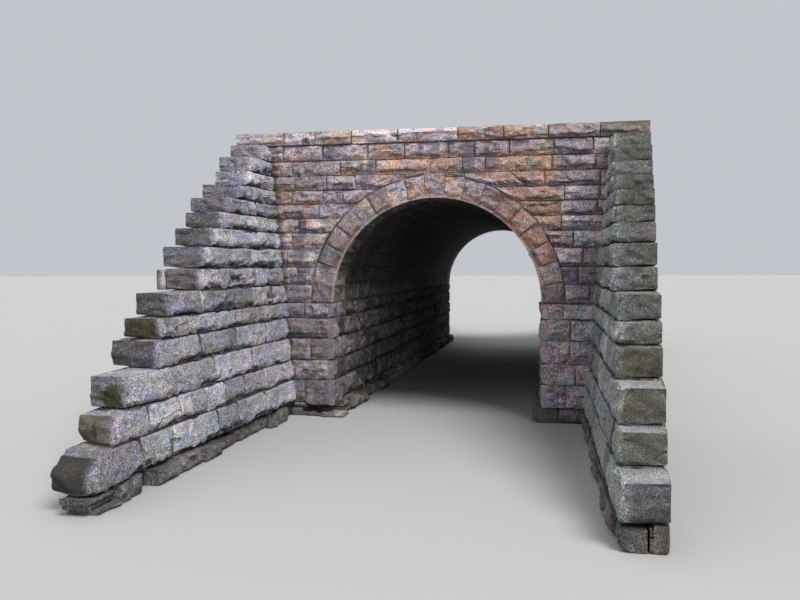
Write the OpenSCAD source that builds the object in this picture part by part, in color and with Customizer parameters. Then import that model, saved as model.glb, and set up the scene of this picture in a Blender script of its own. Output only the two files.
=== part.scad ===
// Stone arch bridge: a semicircular passage of coursed, rock-faced stone with a
// head wall at each end and two stepped wing walls in front of each head wall.
// X runs across the passage, Y along it, Z up. The origin is on the ground plane
// at the middle of the passage. All lengths are in millimetres.

/* [Passage] */
// Clear width of the passage between its two side walls
span = 4570; // [4000:10:4800]
// Length of the passage, from the outer face of one head wall to the other
passage_l = 19200; // [6000:100:20000]
// Height of the ground courses below the first dressed course
footing_h = 320; // [200:10:450]
// How far the ground courses stand out into the passage
ledge = 150; // [50:10:300]

/* [Arch ring] */
// Number of cut stones in each arch ring
ring_stones = 19; // [15:2:23]
// Depth of the ring stones; the keystone stands higher, up to the courses over it
ring_depth = 500; // [440:10:510]
// Width of the open joint between two cut stones
joint = 8; // [4:1:14]

/* [Head walls] */
// Thickness of each head wall, and depth of its ring stones
wall_t = 900; // [600:10:1400]
// Width of each head wall over the backs of its wing walls
wall_w = 9000; // [8600:50:10000]

/* [Coping] */
// Height of the coping stones
coping_h = 300; // [200:10:400]
// How far the coping stands out past the head wall
coping_out = 70; // [20:5:150]

/* [Wing walls] */
// Length of each wing wall at its lowest course
wing_l = 8200; // [5000:100:9000]
// Distance from the centre line to the face of a wing wall at its foot
wing_x = 3177; // [3000:1:3300]
// Backward lean of the wing wall's face, in degrees
batter = 5.44; // [3:0.01:6]
// Outward turn of the wing wall's face, in degrees
flare = 1.91; // [0:0.01:2.5]
// Inward turn of the wing wall's back, in degrees
back_turn = 3.14; // [1:0.01:3.5]

/* [Barrel] */
// Thickness of the masonry vault between the head walls
vault_t = 500; // [350:10:700]
// Thickness of the two abutment walls between the head walls
abutment_t = 1300; // [900:10:1800]

/* [Hidden] */

$fn = 360;
big = 30000;

// Course heights from the top course down to the lowest dressed course.
course_h = [350, 325, 320, 310, 310, 320, 360, 400, 395, 400,
            340, 450, 495, 445, 500];
// Where each course of a wing wall ends, as a share of the wing's length.
course_end = [0.06, 0.15, 0.18, 0.245, 0.315, 0.36, 0.41, 0.47, 0.50, 0.655,
              0.695, 0.725, 0.84, 0.90, 1.00];
courses = len(course_h);
// Courses above the springing of the arch, and above the arch's crown.
above_spring = 10;
above_crown = 2;

// Sum of the heights of courses a to b, both included.
function run_h(a, b) = a > b ? 0 : course_h[a] + run_h(a + 1, b);
// Height of the underside of course i.
function under(i) = footing_h + run_h(i + 1, courses - 1);

r_in = span / 2;                          // inner radius of the arch
z_spring = under(above_spring - 1);       // springing of the arch
z_crown = under(above_crown - 1);         // underside of the courses over the arch
z_top = footing_h + run_h(0, courses - 1); // underside of the coping
half_l = passage_l / 2;
half_w = wall_w / 2;
barrel_l = passage_l - 2 * wall_t;
// Half the distance between the upper ends of the two spandrels.
crown_half = 650;

r_out = r_in + ring_depth;                // outer radius of the ring
crown_h = z_crown - z_spring;             // height of the keystone's top above the springing
pitch = 180 / ring_stones;
key = (ring_stones - 1) / 2;

// Where the coping's joints fall, as a share of the head wall's width.
coping_joint = [0, 0.125, 0.205, 0.297, 0.411, 0.557, 0.666, 0.770, 0.888, 1];

ring_colour = [0.55, 0.46, 0.41];
wall_colour = [0.58, 0.50, 0.45];
coping_colour = [0.52, 0.46, 0.43];
wing_colour = [0.47, 0.46, 0.48];
barrel_colour = [0.38, 0.36, 0.36];
footing_colour = [0.56, 0.53, 0.47];

// Stands a flat X-Z outline up and gives it depth d along Y from y0.
module upright(y0, d)
    translate([0, y0 + d, 0]) rotate([90, 0, 0]) linear_extrude(height = d) children();

// One wedge of the ring, without its sides' joints: a flat outline about the springing.
module wedge_outline(turn, half_angle) {
    reach = 4000;
    rotate(-turn)
        translate([0, joint / 2 / sin(half_angle)])
            polygon([[0, 0],
                     [reach * sin(half_angle), reach * cos(half_angle)],
                     [-reach * sin(half_angle), reach * cos(half_angle)]]);
}

// Ring stones a to b, counted from the left springing.
module voussoirs(a, b)
    color(ring_colour)
        for (i = [a : b])
            upright(-half_l, wall_t)
                translate([0, z_spring])
                    intersection() {
                        difference() {
                            circle(r_out);
                            circle(r_in);
                        }
                        wedge_outline((i - key) * pitch, pitch / 2);
                    }

// The stone in the middle of the ring. Its flat top bears the courses over the crown.
module keystone()
    color(ring_colour)
        upright(-half_l, wall_t)
            translate([0, z_spring])
                intersection() {
                    difference() {
                        translate([-r_in, 0]) square([2 * r_in, crown_h]);
                        circle(r_in);
                    }
                    wedge_outline(0, pitch / 2);
                }

// Pier under the left springing, with the jamb of the passage.
module pier()
    color(wall_colour)
        translate([-half_w, -half_l, footing_h])
            cube([half_w - r_in, wall_t, z_spring - footing_h]);

// Left spandrel, from the springing up to the courses over the crown.
module spandrel()
    color(wall_colour)
        upright(-half_l, wall_t)
            difference() {
                translate([-half_w, z_spring])
                    square([half_w - crown_half, z_crown - z_spring]);
                translate([0, z_spring]) circle(r_out);
            }

// The courses that run right across over the arch. Beside the keystone they reach
// down to the ring, as far as the ends of the two spandrels.
module crown_wall()
    color(wall_colour)
        upright(-half_l, wall_t)
            difference() {
                union() {
                    translate([-half_w, z_crown]) square([wall_w, z_top - z_crown]);
                    translate([-crown_half, z_crown - 200]) square([2 * crown_half, 300]);
                }
                translate([0, z_spring]) circle(r_out);
                translate([0, z_spring])
                    polygon([[0, 0], [crown_h * tan(pitch / 2), crown_h],
                             [-crown_h * tan(pitch / 2), crown_h]]);
            }

// Coping stones, side by side along the top of the head wall.
module coping()
    color(coping_colour)
        for (i = [0 : len(coping_joint) - 2])
            translate([-half_w + wall_w * coping_joint[i] + joint / 2, -half_l - coping_out, z_top])
                cube([wall_w * (coping_joint[i + 1] - coping_joint[i]) - joint,
                      wall_t + coping_out, coping_h]);

// Left wing wall: every course ends further out than the one above it. The
// channel face leans back and turns outward, and the back turns inward.
module wing() {
    foot = [[-half_l, footing_h]];
    steps = [for (i = [courses - 1 : -1 : 0]) for (k = [0, 1])
        [-half_l - wing_l * course_end[i], k == 0 ? under(i) : under(i) + course_h[i]]];
    head = [[-half_l, z_top]];
    color(wing_colour)
        intersection() {
            translate([-half_w - 200, 0, 0])
                rotate([90, 0, 90])
                    linear_extrude(height = half_w) polygon(concat(foot, steps, head));
            translate([-wing_x, -half_l, footing_h])
                rotate([0, 0, -flare]) rotate([0, -batter, 0])
                    translate([-big, -big / 2, -big / 2]) cube(big);
            translate([-half_w, -half_l, 0])
                rotate([0, 0, back_turn])
                    translate([0, -big / 2, -big / 2]) cube(big);
        }
}

// Ground course under the left wing wall.
module wing_footing() {
    end = wing_l + 100;
    color(footing_colour)
        linear_extrude(height = footing_h)
            polygon([[-half_w, -half_l],
                     [-half_w + end * tan(back_turn), -half_l - end],
                     [-wing_x + 40 - end * tan(flare), -half_l - end],
                     [-wing_x + 40, -half_l]]);
}

// Ground course under the left pier.
module pier_footing()
    color(footing_colour)
        translate([-half_w, -half_l, 0])
            cube([half_w - r_in + ledge, wall_t, footing_h]);

// Side wall of the passage between the head walls.
module abutment()
    color(barrel_colour)
        translate([-r_in - abutment_t, -barrel_l / 2, footing_h])
            cube([abutment_t, barrel_l, z_spring - footing_h]);

// Ground course under the side wall.
module abutment_footing()
    color(footing_colour)
        translate([-r_in - abutment_t, -barrel_l / 2, 0])
            cube([abutment_t + ledge, barrel_l, footing_h]);

// A third of the vault, between two angles measured from the right springing.
module vault(a, b) {
    reach = 4 * r_in;
    color(barrel_colour)
        upright(-barrel_l / 2, barrel_l)
            translate([0, z_spring])
                intersection() {
                    difference() {
                        circle(r_in + vault_t);
                        circle(r_in);
                    }
                    polygon([[0, 0],
                             [reach * cos(a), reach * sin(a)],
                             [reach * cos((a + b) / 2), reach * sin((a + b) / 2)],
                             [reach * cos(b), reach * sin(b)]]);
                }
}

// Rough masonry that fills the angle between the vault's haunch and the side wall.
module haunch_backing()
    color(barrel_colour)
        upright(-barrel_l / 2, barrel_l)
            translate([0, z_spring])
                difference() {
                    polygon([[-r_in - abutment_t, 0], [-r_in, 0],
                             [-r_in * 0.7, 1900], [-r_in - abutment_t, 900]]);
                    circle(r_in + vault_t);
                }

module to_right() mirror([1, 0, 0]) children();
module to_back() mirror([0, 1, 0]) children();

module front_left_voussoirs() voussoirs(0, key - 1);
module front_keystone() keystone();
module front_right_voussoirs() to_right() voussoirs(0, key - 1);
module front_left_pier() pier();
module front_right_pier() to_right() pier();
module front_left_spandrel() spandrel();
module front_right_spandrel() to_right() spandrel();
module front_crown_wall() crown_wall();
module front_coping() coping();
module front_left_wing() wing();
module front_right_wing() to_right() wing();
module front_left_wing_footing() wing_footing();
module front_right_wing_footing() to_right() wing_footing();
module front_left_pier_footing() pier_footing();
module front_right_pier_footing() to_right() pier_footing();

module back_left_voussoirs() to_back() voussoirs(0, key - 1);
module back_keystone() to_back() keystone();
module back_right_voussoirs() to_back() to_right() voussoirs(0, key - 1);
module back_left_pier() to_back() pier();
module back_right_pier() to_back() to_right() pier();
module back_left_spandrel() to_back() spandrel();
module back_right_spandrel() to_back() to_right() spandrel();
module back_crown_wall() to_back() crown_wall();
module back_coping() to_back() to_right() coping();
module back_left_wing() to_back() wing();
module back_right_wing() to_back() to_right() wing();
module back_left_wing_footing() to_back() wing_footing();
module back_right_wing_footing() to_back() to_right() wing_footing();
module back_left_pier_footing() to_back() pier_footing();
module back_right_pier_footing() to_back() to_right() pier_footing();

module left_abutment() abutment();
module right_abutment() to_right() abutment();
module left_vault() vault(120, 180);
module crown_vault() vault(60, 120);
module right_vault() vault(0, 60);
module left_haunch_backing() haunch_backing();
module right_haunch_backing() to_right() haunch_backing();
module left_abutment_footing() abutment_footing();
module right_abutment_footing() to_right() abutment_footing();

front_left_voussoirs();
front_keystone();
front_right_voussoirs();
front_left_pier();
front_right_pier();
front_left_spandrel();
front_right_spandrel();
front_crown_wall();
front_coping();
front_left_wing();
front_right_wing();
front_left_wing_footing();
front_right_wing_footing();
front_left_pier_footing();
front_right_pier_footing();
back_left_voussoirs();
back_keystone();
back_right_voussoirs();
back_left_pier();
back_right_pier();
back_left_spandrel();
back_right_spandrel();
back_crown_wall();
back_coping();
back_left_wing();
back_right_wing();
back_left_wing_footing();
back_right_wing_footing();
back_left_pier_footing();
back_right_pier_footing();
left_abutment();
right_abutment();
left_vault();
crown_vault();
right_vault();
left_haunch_backing();
right_haunch_backing();
left_abutment_footing();
right_abutment_footing();
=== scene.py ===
"""Visual model of the stone arch bridge: every stone is a closed mesh laid in its course."""
import math

import bpy
import numpy as np
from mathutils import Matrix, Vector


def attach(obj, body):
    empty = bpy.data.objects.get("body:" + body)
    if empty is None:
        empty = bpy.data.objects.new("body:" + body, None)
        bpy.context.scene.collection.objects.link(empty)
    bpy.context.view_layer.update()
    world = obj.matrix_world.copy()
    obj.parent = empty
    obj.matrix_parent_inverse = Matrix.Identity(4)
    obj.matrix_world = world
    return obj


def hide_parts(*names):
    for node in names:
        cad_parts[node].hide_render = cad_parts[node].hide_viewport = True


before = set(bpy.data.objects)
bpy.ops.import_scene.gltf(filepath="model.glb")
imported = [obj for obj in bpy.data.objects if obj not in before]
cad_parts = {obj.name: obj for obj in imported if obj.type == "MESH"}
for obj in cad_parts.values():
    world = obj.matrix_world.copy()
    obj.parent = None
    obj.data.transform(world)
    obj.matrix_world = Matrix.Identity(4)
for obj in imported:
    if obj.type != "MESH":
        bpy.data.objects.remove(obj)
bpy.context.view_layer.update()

# ------------------------------------------------------------------ sizes, as in the frame
R_IN = 2.285            # inner radius of the arch
RING_DEPTH = 0.50
HALF_L = 9.6            # outer face of each head wall
WALL_T = 0.9
HALF_W = 4.5
FOOT = 0.32
LEDGE = 0.15
ABUT_T = 1.3
VAULT_T = 0.5
COPING_H, COPING_OUT = 0.30, 0.07
WING_L = 8.2
WING_X = 3.177
BATTER = math.tan(math.radians(5.44))
FLARE = math.tan(math.radians(1.91))
BACK_TURN = math.tan(math.radians(3.14))
COURSE_H = [.350, .325, .320, .310, .310, .320, .360, .400, .395, .400,
            .340, .450, .495, .445, .500]
COURSE_END = [0.06, 0.15, 0.18, 0.245, 0.315, 0.36, 0.41, 0.47, 0.50, 0.655,
              0.695, 0.725, 0.84, 0.90, 1.00]
UNDER = [FOOT + sum(COURSE_H[i + 1:]) for i in range(15)]
TOP = [UNDER[i] + COURSE_H[i] for i in range(15)]
Z_SPRING = UNDER[9]
Z_CROWN = UNDER[1]
Z_TOP = TOP[0]
R_OUT = R_IN + RING_DEPTH
KEY_HALF = (Z_CROWN - Z_SPRING) * math.tan(math.pi / 38)   # half the keystone's top
CROWN_HALF = 0.65                                          # the crown wall reaches down beside it so far out
BARREL = HALF_L - WALL_T
JOINT = 0.009


# ------------------------------------------------------------------ noise
def _lattice(ix, iy, iz, seed):
    h = (ix * 73856093) ^ (iy * 19349663) ^ (iz * 83492791) ^ ((seed * 40503 + 977) * 65537)
    h &= 0xFFFFFFFF
    h = (((h >> 16) ^ h) * 0x45D9F3B) & 0xFFFFFFFF
    h = (((h >> 16) ^ h) * 0x45D9F3B) & 0xFFFFFFFF
    h = (h >> 16) ^ h
    return (h & 0xFFFFFF) / float(0xFFFFFF) * 2.0 - 1.0


def noise(x, y, z, seed):
    """Smooth value noise from -1 to 1."""
    ix, iy, iz = np.floor(x), np.floor(y), np.floor(z)
    fx, fy, fz = x - ix, y - iy, z - iz
    ix, iy, iz = ix.astype(np.int64), iy.astype(np.int64), iz.astype(np.int64)
    fx = fx * fx * fx * (fx * (fx * 6 - 15) + 10)
    fy = fy * fy * fy * (fy * (fy * 6 - 15) + 10)
    fz = fz * fz * fz * (fz * (fz * 6 - 15) + 10)
    out = 0.0
    for dx in (0, 1):
        wx = fx if dx else 1 - fx
        for dy in (0, 1):
            wy = fy if dy else 1 - fy
            for dz in (0, 1):
                wz = fz if dz else 1 - fz
                out = out + wx * wy * wz * _lattice(ix + dx, iy + dy, iz + dz, seed)
    return out


def smooth(a, b, x):
    t = np.clip((x - a) / (b - a), 0.0, 1.0)
    return t * t * (3 - 2 * t)


# ------------------------------------------------------------------ the box lattice of a stone
_lattices = {}


def box_lattice(nu, nv, nw, back):
    """Surface points (i, j, k) of a grid box, its quads, and the rim of an ungridded back."""
    key = (nu, nv, nw, back)
    if key in _lattices:
        return _lattices[key]
    i, j, k = np.meshgrid(np.arange(nu + 1), np.arange(nv + 1), np.arange(nw + 1), indexing="ij")
    side = (i == 0) | (i == nu) | (j == 0) | (j == nv)
    keep = side | (k == 0) | ((k == nw) if back else np.zeros_like(side))
    ids = -np.ones(keep.shape, dtype=np.int64)
    ids[keep] = np.arange(keep.sum())
    quads = []

    def grid(a, turn):
        q = np.stack([a[:-1, :-1], a[1:, :-1], a[1:, 1:], a[:-1, 1:]], axis=-1).reshape(-1, 4)
        quads.append(q[:, ::-1] if turn else q)

    grid(ids[:, :, 0], False)            # front, outward along +n
    if back:
        grid(ids[:, :, nw], True)
    grid(ids[0, :, :], False)            # low s side
    grid(ids[nu, :, :], True)
    grid(ids[:, 0, :], True)             # low t side
    grid(ids[:, nv, :], False)
    rim = None
    if not back:
        a = ids[:, :, nw]
        rim = np.concatenate([a[0, :], a[1:, nv], a[nu, :-1][::-1], a[1:-1, 0][::-1]])
    got = (np.stack([i[keep], j[keep], k[keep]], axis=1), np.concatenate(quads), rim)
    _lattices[key] = got
    return got


NEAR = ((0.012, 0.032), (0.018,), (0.035,))


def ticks(length, cell, lod=0):
    """Grid lines along one edge: close together near both ends, even between."""
    near = NEAR[lod]
    if length < 2.6 * near[-1]:
        return np.array([0.0, 0.5, 1.0]) * length
    lo, hi = near[-1], length - near[-1]
    n = max(1, int(round((hi - lo) / cell)))
    mid = lo + (hi - lo) * np.arange(n + 1) / n
    first = [0.0] + list(near[:-1])
    return np.concatenate([first, mid, [length - x for x in first[::-1]]])


def facets(rng, a, b, W, H, size=0.17, slope=0.13, step=0.011, soft=2.6):
    """Broken planes that meet in ridges and hollows, in metres."""
    nx, ny = max(1, int(round(W / size))), max(1, int(round(H / (size * 0.62))))
    px = (np.arange(nx) + 0.5) / nx * W
    py = (np.arange(ny) + 0.5) / ny * H
    gx, gy = np.meshgrid(px, py)
    gx = (gx + rng.uniform(-0.45, 0.45, gx.shape) * W / nx).ravel()
    gy = (gy + rng.uniform(-0.45, 0.45, gy.shape) * H / ny).ravel()
    sx, sy = rng.normal(0, slope, gx.size), rng.normal(0, slope * 1.3, gx.size)
    c = rng.normal(0, step, gx.size)
    num, den = np.zeros_like(a), np.zeros_like(a)
    for k in range(gx.size):
        dx, dy = a - gx[k], (b - gy[k])
        d2 = (dx / size) ** 2 + (dy / (size * 0.62)) ** 2
        w = np.exp(-soft * 4 * d2) + 1e-12
        num += w * (c[k] + sx[k] * dx + sy[k] * dy)
        den += w
    return num / den


def scoops(rng, a, b, W, H, warp, count, depth, low=0.6):
    """Shell-like hollows where pieces have spalled off, most of them along the lower edge."""
    out = np.zeros_like(a)
    for _ in range(count):
        ca = rng.uniform(0, W)
        cb = rng.uniform(-0.03, 0.30) * H if rng.random() < low else rng.uniform(0.15, 1.05) * H
        ra, rb = rng.uniform(0.07, 0.26), rng.uniform(0.045, 0.13)
        q = ((a - ca) / ra) ** 2 + ((b - cb) / rb) ** 2 + 0.45 * warp
        out = np.maximum(out, rng.uniform(0.45, 1.0) * depth * np.sqrt(np.clip(1 - q, 0, 1)))
    return out


class Wall:
    """Collects the stones of one piece. mapf takes (s, t, n) in metres to the frame."""

    KEYS = ("tone", "hue", "cav", "edge", "warm", "lime", "moss", "damp", "film", "margin", "olive", "soil", "brow")

    def __init__(self, name, nodes, slot, mapf, weather=None, carve=None):
        self.name, self.nodes, self.slot_name, self.mapf = name, nodes, slot, mapf
        self.weather, self.carve = weather, carve
        self.verts, self.quads, self.rims = [], [], []
        self.quad_mat, self.rim_mat = [], []
        self.attrs = {k: [] for k in self.KEYS}
        self.count = 0
        self.tris = 0

    def turned(self, s, t, mapf):
        p = np.array([mapf(np.array([s + a]), np.array([t + b]), np.array([c]))
                      for a, b, c in ((0, 0, 0), (1e-3, 0, 0), (0, 1e-3, 0), (0, 0, 1e-3))]).reshape(4, 3)
        m = p[1:] - p[0]
        return np.linalg.det(m) < 0

    def add(self, pos, quads, rim, turned, attrs, mat):
        n = len(pos)
        pos = np.clip(pos, (-HALF_W, -HALF_L - WING_L - 0.1, 0.0), (HALF_W, HALF_L + WING_L + 0.1, Z_TOP + COPING_H))
        if turned:
            quads = quads[:, ::-1]
            rim = None if rim is None else rim[::-1]
        self.verts.append(pos)
        self.quads.append(quads + self.count)
        self.quad_mat.append(np.full(len(quads), mat))
        if rim is not None:
            self.rims.append(rim + self.count)
            self.rim_mat.append(mat)
            self.tris += len(rim) - 2
        for k in self.attrs:
            v = attrs.get(k, 0.5 if k == "cav" else 0.0)
            self.attrs[k].append(np.broadcast_to(np.asarray(v, dtype=float), (n,)).copy())
        self.count += n
        self.tris += 2 * len(quads)

    # -------------------------------------------------------------- one stone
    def stone(self, s0, s1, t0, t1, depth, seed, cell=0.035, deep=0.10, back=False, lod=0,
              amp=0.035, style="quarry", draft=(0, 0, 0, 0), sL=None, sR=None, tB=None, tT=None,
              show="", round_=0.014, gap=0.006, lean=None, set_back=0.0, tone=None, mapf=None,
              warm=0.0, side_amp=0.012, scale=1.0, end_bulge=0.0, margin=None, ragged=0.0, hue=None,
              spall=1.0, film=0.0, gap_s=None, corner=0.0, rock="", lump=1.0, joint_dirt_and_shade=1.0, chips=0.0, damp=0.0, vary=0.16,
              calm=0.0, lift=0.0, round_s=0.0, worn=None):
        """A stone over s0..s1, t0..t1, its joint plane at n = 0. sL, sR, tB and tT bend its sides.
        show names the sides that show: l, r, b, t, k for low s, high s, low t, high t, back;
        rock names those of them that are left rough. corner wears down the upright edge at high s, lift the
        lower edge of its end further back. calm keeps the sides' relief away from the face. worn draws the end
        at high s in: everywhere, at its top, at its back and at the foot of its back."""
        mapf = mapf or self.mapf
        g = gap / 2
        gs = g if gap_s is None else gap_s / 2
        rng = np.random.default_rng(seed * 7919 + 13)
        W, H = (s1 - s0) * scale, t1 - t0
        if W < 0.03 or H < 0.02:
            return
        pu, pv = ticks(W, cell, lod), ticks(H, cell, lod)
        if not (back or any(c in show for c in "lrbt")) or deep >= depth:
            pw = np.array([0.0, 0.014, 0.045, depth]) if lod == 0 else \
                np.array([0.0, 0.02, depth]) if lod == 1 else np.array([0.0, 0.04, depth])
        else:
            pw = ticks(depth, deep, lod)
        ijk, quads, rim = box_lattice(len(pu) - 1, len(pv) - 1, len(pw) - 1, back)
        a, b, c = pu[ijk[:, 0]], pv[ijk[:, 1]], pw[ijk[:, 2]]
        onL, onR = ijk[:, 0] == 0, ijk[:, 0] == len(pu) - 1
        onB, onT = ijk[:, 1] == 0, ijk[:, 1] == len(pv) - 1
        onF, onK = ijk[:, 2] == 0, ijk[:, 2] == len(pw) - 1
        u, v = a / W, b / H
        # straight sides first, then the bent ones
        T = t0 + g + (t1 - t0 - 2 * g) * v
        lo = (sL(T) if callable(sL) else s0) + gs / scale
        hi = (sR(T) if callable(sR) else s1) - gs / scale
        S = lo + (hi - lo) * u
        if callable(tB) or callable(tT):
            bot = (tB(S) if callable(tB) else t0) + g
            top = (tT(S) if callable(tT) else t1) - g
            T = bot + np.maximum(top - bot, 0.004) * v
        S0, T0 = S.copy(), T.copy()
        N = -c.copy()
        wx, wy, wz = S * scale, T, N
        sd = int(seed) % 9973
        off = sd * 0.37
        # distances from each side
        dL, dR, dB, dT, dF, dK = a, W - a, b, H - b, c, depth - c
        # ragged arrises
        rag = 0.55 + 0.45 * noise(wx * 9, wy * 9, wz * 9, sd + 1)
        chip = smooth(0.30, 0.75, noise(wx * 3.3, wy * 3.3, wz * 3.3 + 5, sd + 2))
        r = np.maximum(round_ * (0.4 + 0.8 * rag) + 2.2 * chip * round_, 0.004)

        def fil(e, q=None):
            q = r if q is None else q
            return 0.45 * q * np.clip(1 - e / q, 0, 1) ** 2
        rS = np.maximum(r, round_s * (0.4 + 0.8 * rag)) if round_s else r

        inS = np.zeros_like(a); inT = np.zeros_like(a); inN = np.zeros_like(a)
        hid = 0.3  # hidden edges are rounded less
        for on, sign in ((onL, 1), (onR, -1)):
            inS += on * sign * (hid * fil(dB) + hid * fil(dT) + fil(dF) + (fil(dK) if back else 0))
        for on, sign in ((onB, 1), (onT, -1)):
            inT += on * sign * (hid * fil(dL) + hid * fil(dR) + fil(dF) + (fil(dK) if back else 0))
        inN -= onF * (fil(dL, rS) + fil(dR, rS) + fil(dB) + fil(dT))
        if back:
            inN += onK * (fil(dL) + fil(dR) + fil(dB) + fil(dT))
        S = S + inS / scale
        T = T + inT
        N = N + inN
        front = np.exp(-np.maximum(c, 0) / 0.10)
        if ragged:
            up = smooth(0.05, 0.60, noise(wx * 2.3, wx * 0 + 3.1, wx * 0, sd + 20)) + \
                0.55 * smooth(0.1, 0.7, noise(wx * 9, wx * 0 + 1.1, wx * 0, sd + 21))
            dn = smooth(0.0, 0.8, noise(wx * 2.9, wx * 0 + 7.7, wx * 0, sd + 22))
            T = T + ragged * up * (1 - v) ** 3 * front - 0.45 * ragged * dn * v ** 4 * front
        # the rock face
        e = np.minimum(np.minimum(dL - draft[0], dR - draft[1]), np.minimum(dB - draft[2], dT - draft[3]))
        n1 = noise(wx * 1.5, wy * 3.0, wz * 0 + off, sd + 4)
        n2 = noise(wx * 5.2, wy * 8.5, wz * 0 + off, sd + 5)
        n3 = noise(wx * 13, wy * 17, wz * 0 + off, sd + 6)
        n4 = noise(wx * 24, wy * 30, wz * 0 + off, sd + 7)
        fine = 0.0085 * (1 - 2 * np.abs(n3)) + 0.0055 * n4
        fresh = np.zeros_like(a)
        brow = np.zeros_like(a)                          # 1 along the edge of an overhang, more below it, 0 elsewhere: where a painted highlight, a dark line and painted shade go
        cut = 0.0
        if style in ("quarry", "pillow"):
            wing_ = style == "pillow"
            fac = facets(rng, a, b, W, H, size=0.24 if wing_ else 0.16, slope=(0.15 if wing_ else 0.12) * lump,
                         step=(0.012 if wing_ else 0.009) * lump, soft=3.6)
            # beds: each lies a little in front of or behind its neighbours
            beds = rng.integers(2, 5)
            lines = np.sort((np.arange(1, beds) + rng.uniform(-0.3, 0.3, beds - 1)) / beds * H)
            out_ = rng.normal(0, 0.009 if wing_ else 0.013, beds) * lump
            if rng.random() < 0.7:
                out_ = np.sort(out_)                    # most stones overhang
            bed = np.full_like(a, out_[0])
            tilt = rng.normal(0, 0.035)
            for k, ln in enumerate(lines):
                ln_ = ln + tilt * (a - W / 2) + 0.022 * noise(wx * 2.7, wx * 0 + k, wx * 0, sd + 11) \
                    + 0.008 * noise(wx * 11, wx * 0 + k, wx * 0, sd + 12)
                bed = bed + (out_[k + 1] - out_[k]) * smooth(-0.012, 0.012, b - ln_) \
                    * (0.65 + 0.5 * noise(wx * 1.3, wx * 0 + k, wx * 0, sd + 13))
                if out_[k + 1] - out_[k] > 0.006 and scale == 1.0:
                    part = smooth(-0.10, 0.25, noise(wx * 2.1, wx * 0 + 3.3 * k, wx * 0, sd + 31))
                    brow = np.maximum(brow, (np.clip((ln_ - b) / 0.04, -1.0, 2.0) + 1.0) * part)
            if wing_:
                body = amp * (0.50 + 0.55 * smooth(0, 0.10, dB) * smooth(1.0, 0.25, v) + 0.22 * n1)
            else:
                body = amp * (0.50 + 0.30 * smooth(0, 0.09, e) + 0.30 * n1) \
                    + 0.020 * smooth(1.05, 0.30, v) * smooth(0.02, 0.30, v)
            cnt = int(round((3 + W * H * 14) * spall))
            cut = scoops(rng, a, b, W, H, n2 + 0.6 * n3, cnt, (0.032 if wing_ else 0.026) * (0.5 + 0.5 * lump), 0.65)
            h = body + fac + bed - cut + 0.010 * n2 + fine
            if lean is not None:
                h = h + lean * (v - 0.5) * 2
            if wing_:
                h = h - 0.030 * smooth(0.07, 0.0, dB) * smooth(-0.3, 0.4, n2 + n1)
            fresh = smooth(0.006, 0.02, cut)
            rise = smooth(-0.002, 0.030, e + 0.012 * n2)
        elif style == "rubble":
            fac = facets(rng, a, b, W, H, size=0.26, slope=0.13, step=0.012, soft=5.0)
            h = amp * (0.5 + 0.6 * smooth(0, 0.06, e) + 0.4 * n1) + (fac + 0.006 * n2) * (1.0 if amp else 0.35) + fine
            if not amp:
                h = h - 0.014
            rise = smooth(0.0, 0.05, e)
        else:                                            # smooth, tooled
            h = amp * (0.5 + 0.5 * n1) + 0.004 * n2 + 0.4 * fine
            rise = smooth(0.0, 0.02, e)
        local = np.zeros_like(a)
        if style in ("quarry", "pillow", "rubble"):
            local = h - amp * 0.75
        h = np.maximum(h, -0.012 if style != "rubble" else -0.03)
        extra, efresh = (0.0, 0.0)
        if self.carve:
            extra, efresh, carved = self.carve(S0, T0)
            extra = extra * smooth(0.0, 0.012, np.minimum(dL, dR))
            brow = np.maximum(brow, carved)
        if chips:
            for d1, d2 in ((dL, dB), (dR, dB), (dL, dT), (dR, dT)):
                sz = chips * rng.uniform(0, 1) ** 2
                k1, k2 = rng.uniform(0.6, 1.5, 2)
                extra = extra - 0.9 * np.clip(sz * (1 + 0.4 * n3) - k1 * d1 - k2 * d2, 0, None)
        N = N + onF * (rise * h + (1 - rise) * (0.0015 * n3 + 0.0015 * n4) + extra)
        local = local * rise + 0.5 * extra
        if corner:
            rc = corner * (0.75 + 0.5 * noise(wx * 0, wy * 2.3, wz * 0 + off, sd + 18))
            N = N - onF * 0.50 * rc * np.clip(1 - dR / rc, 0, 1) ** 2
            S = S - onR * 0.50 * rc * np.clip(1 - dF / rc, 0, 1) ** 2 / scale
        # what shows on the other sides: worn back from the joint plane, or swelling at a wall's end

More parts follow.
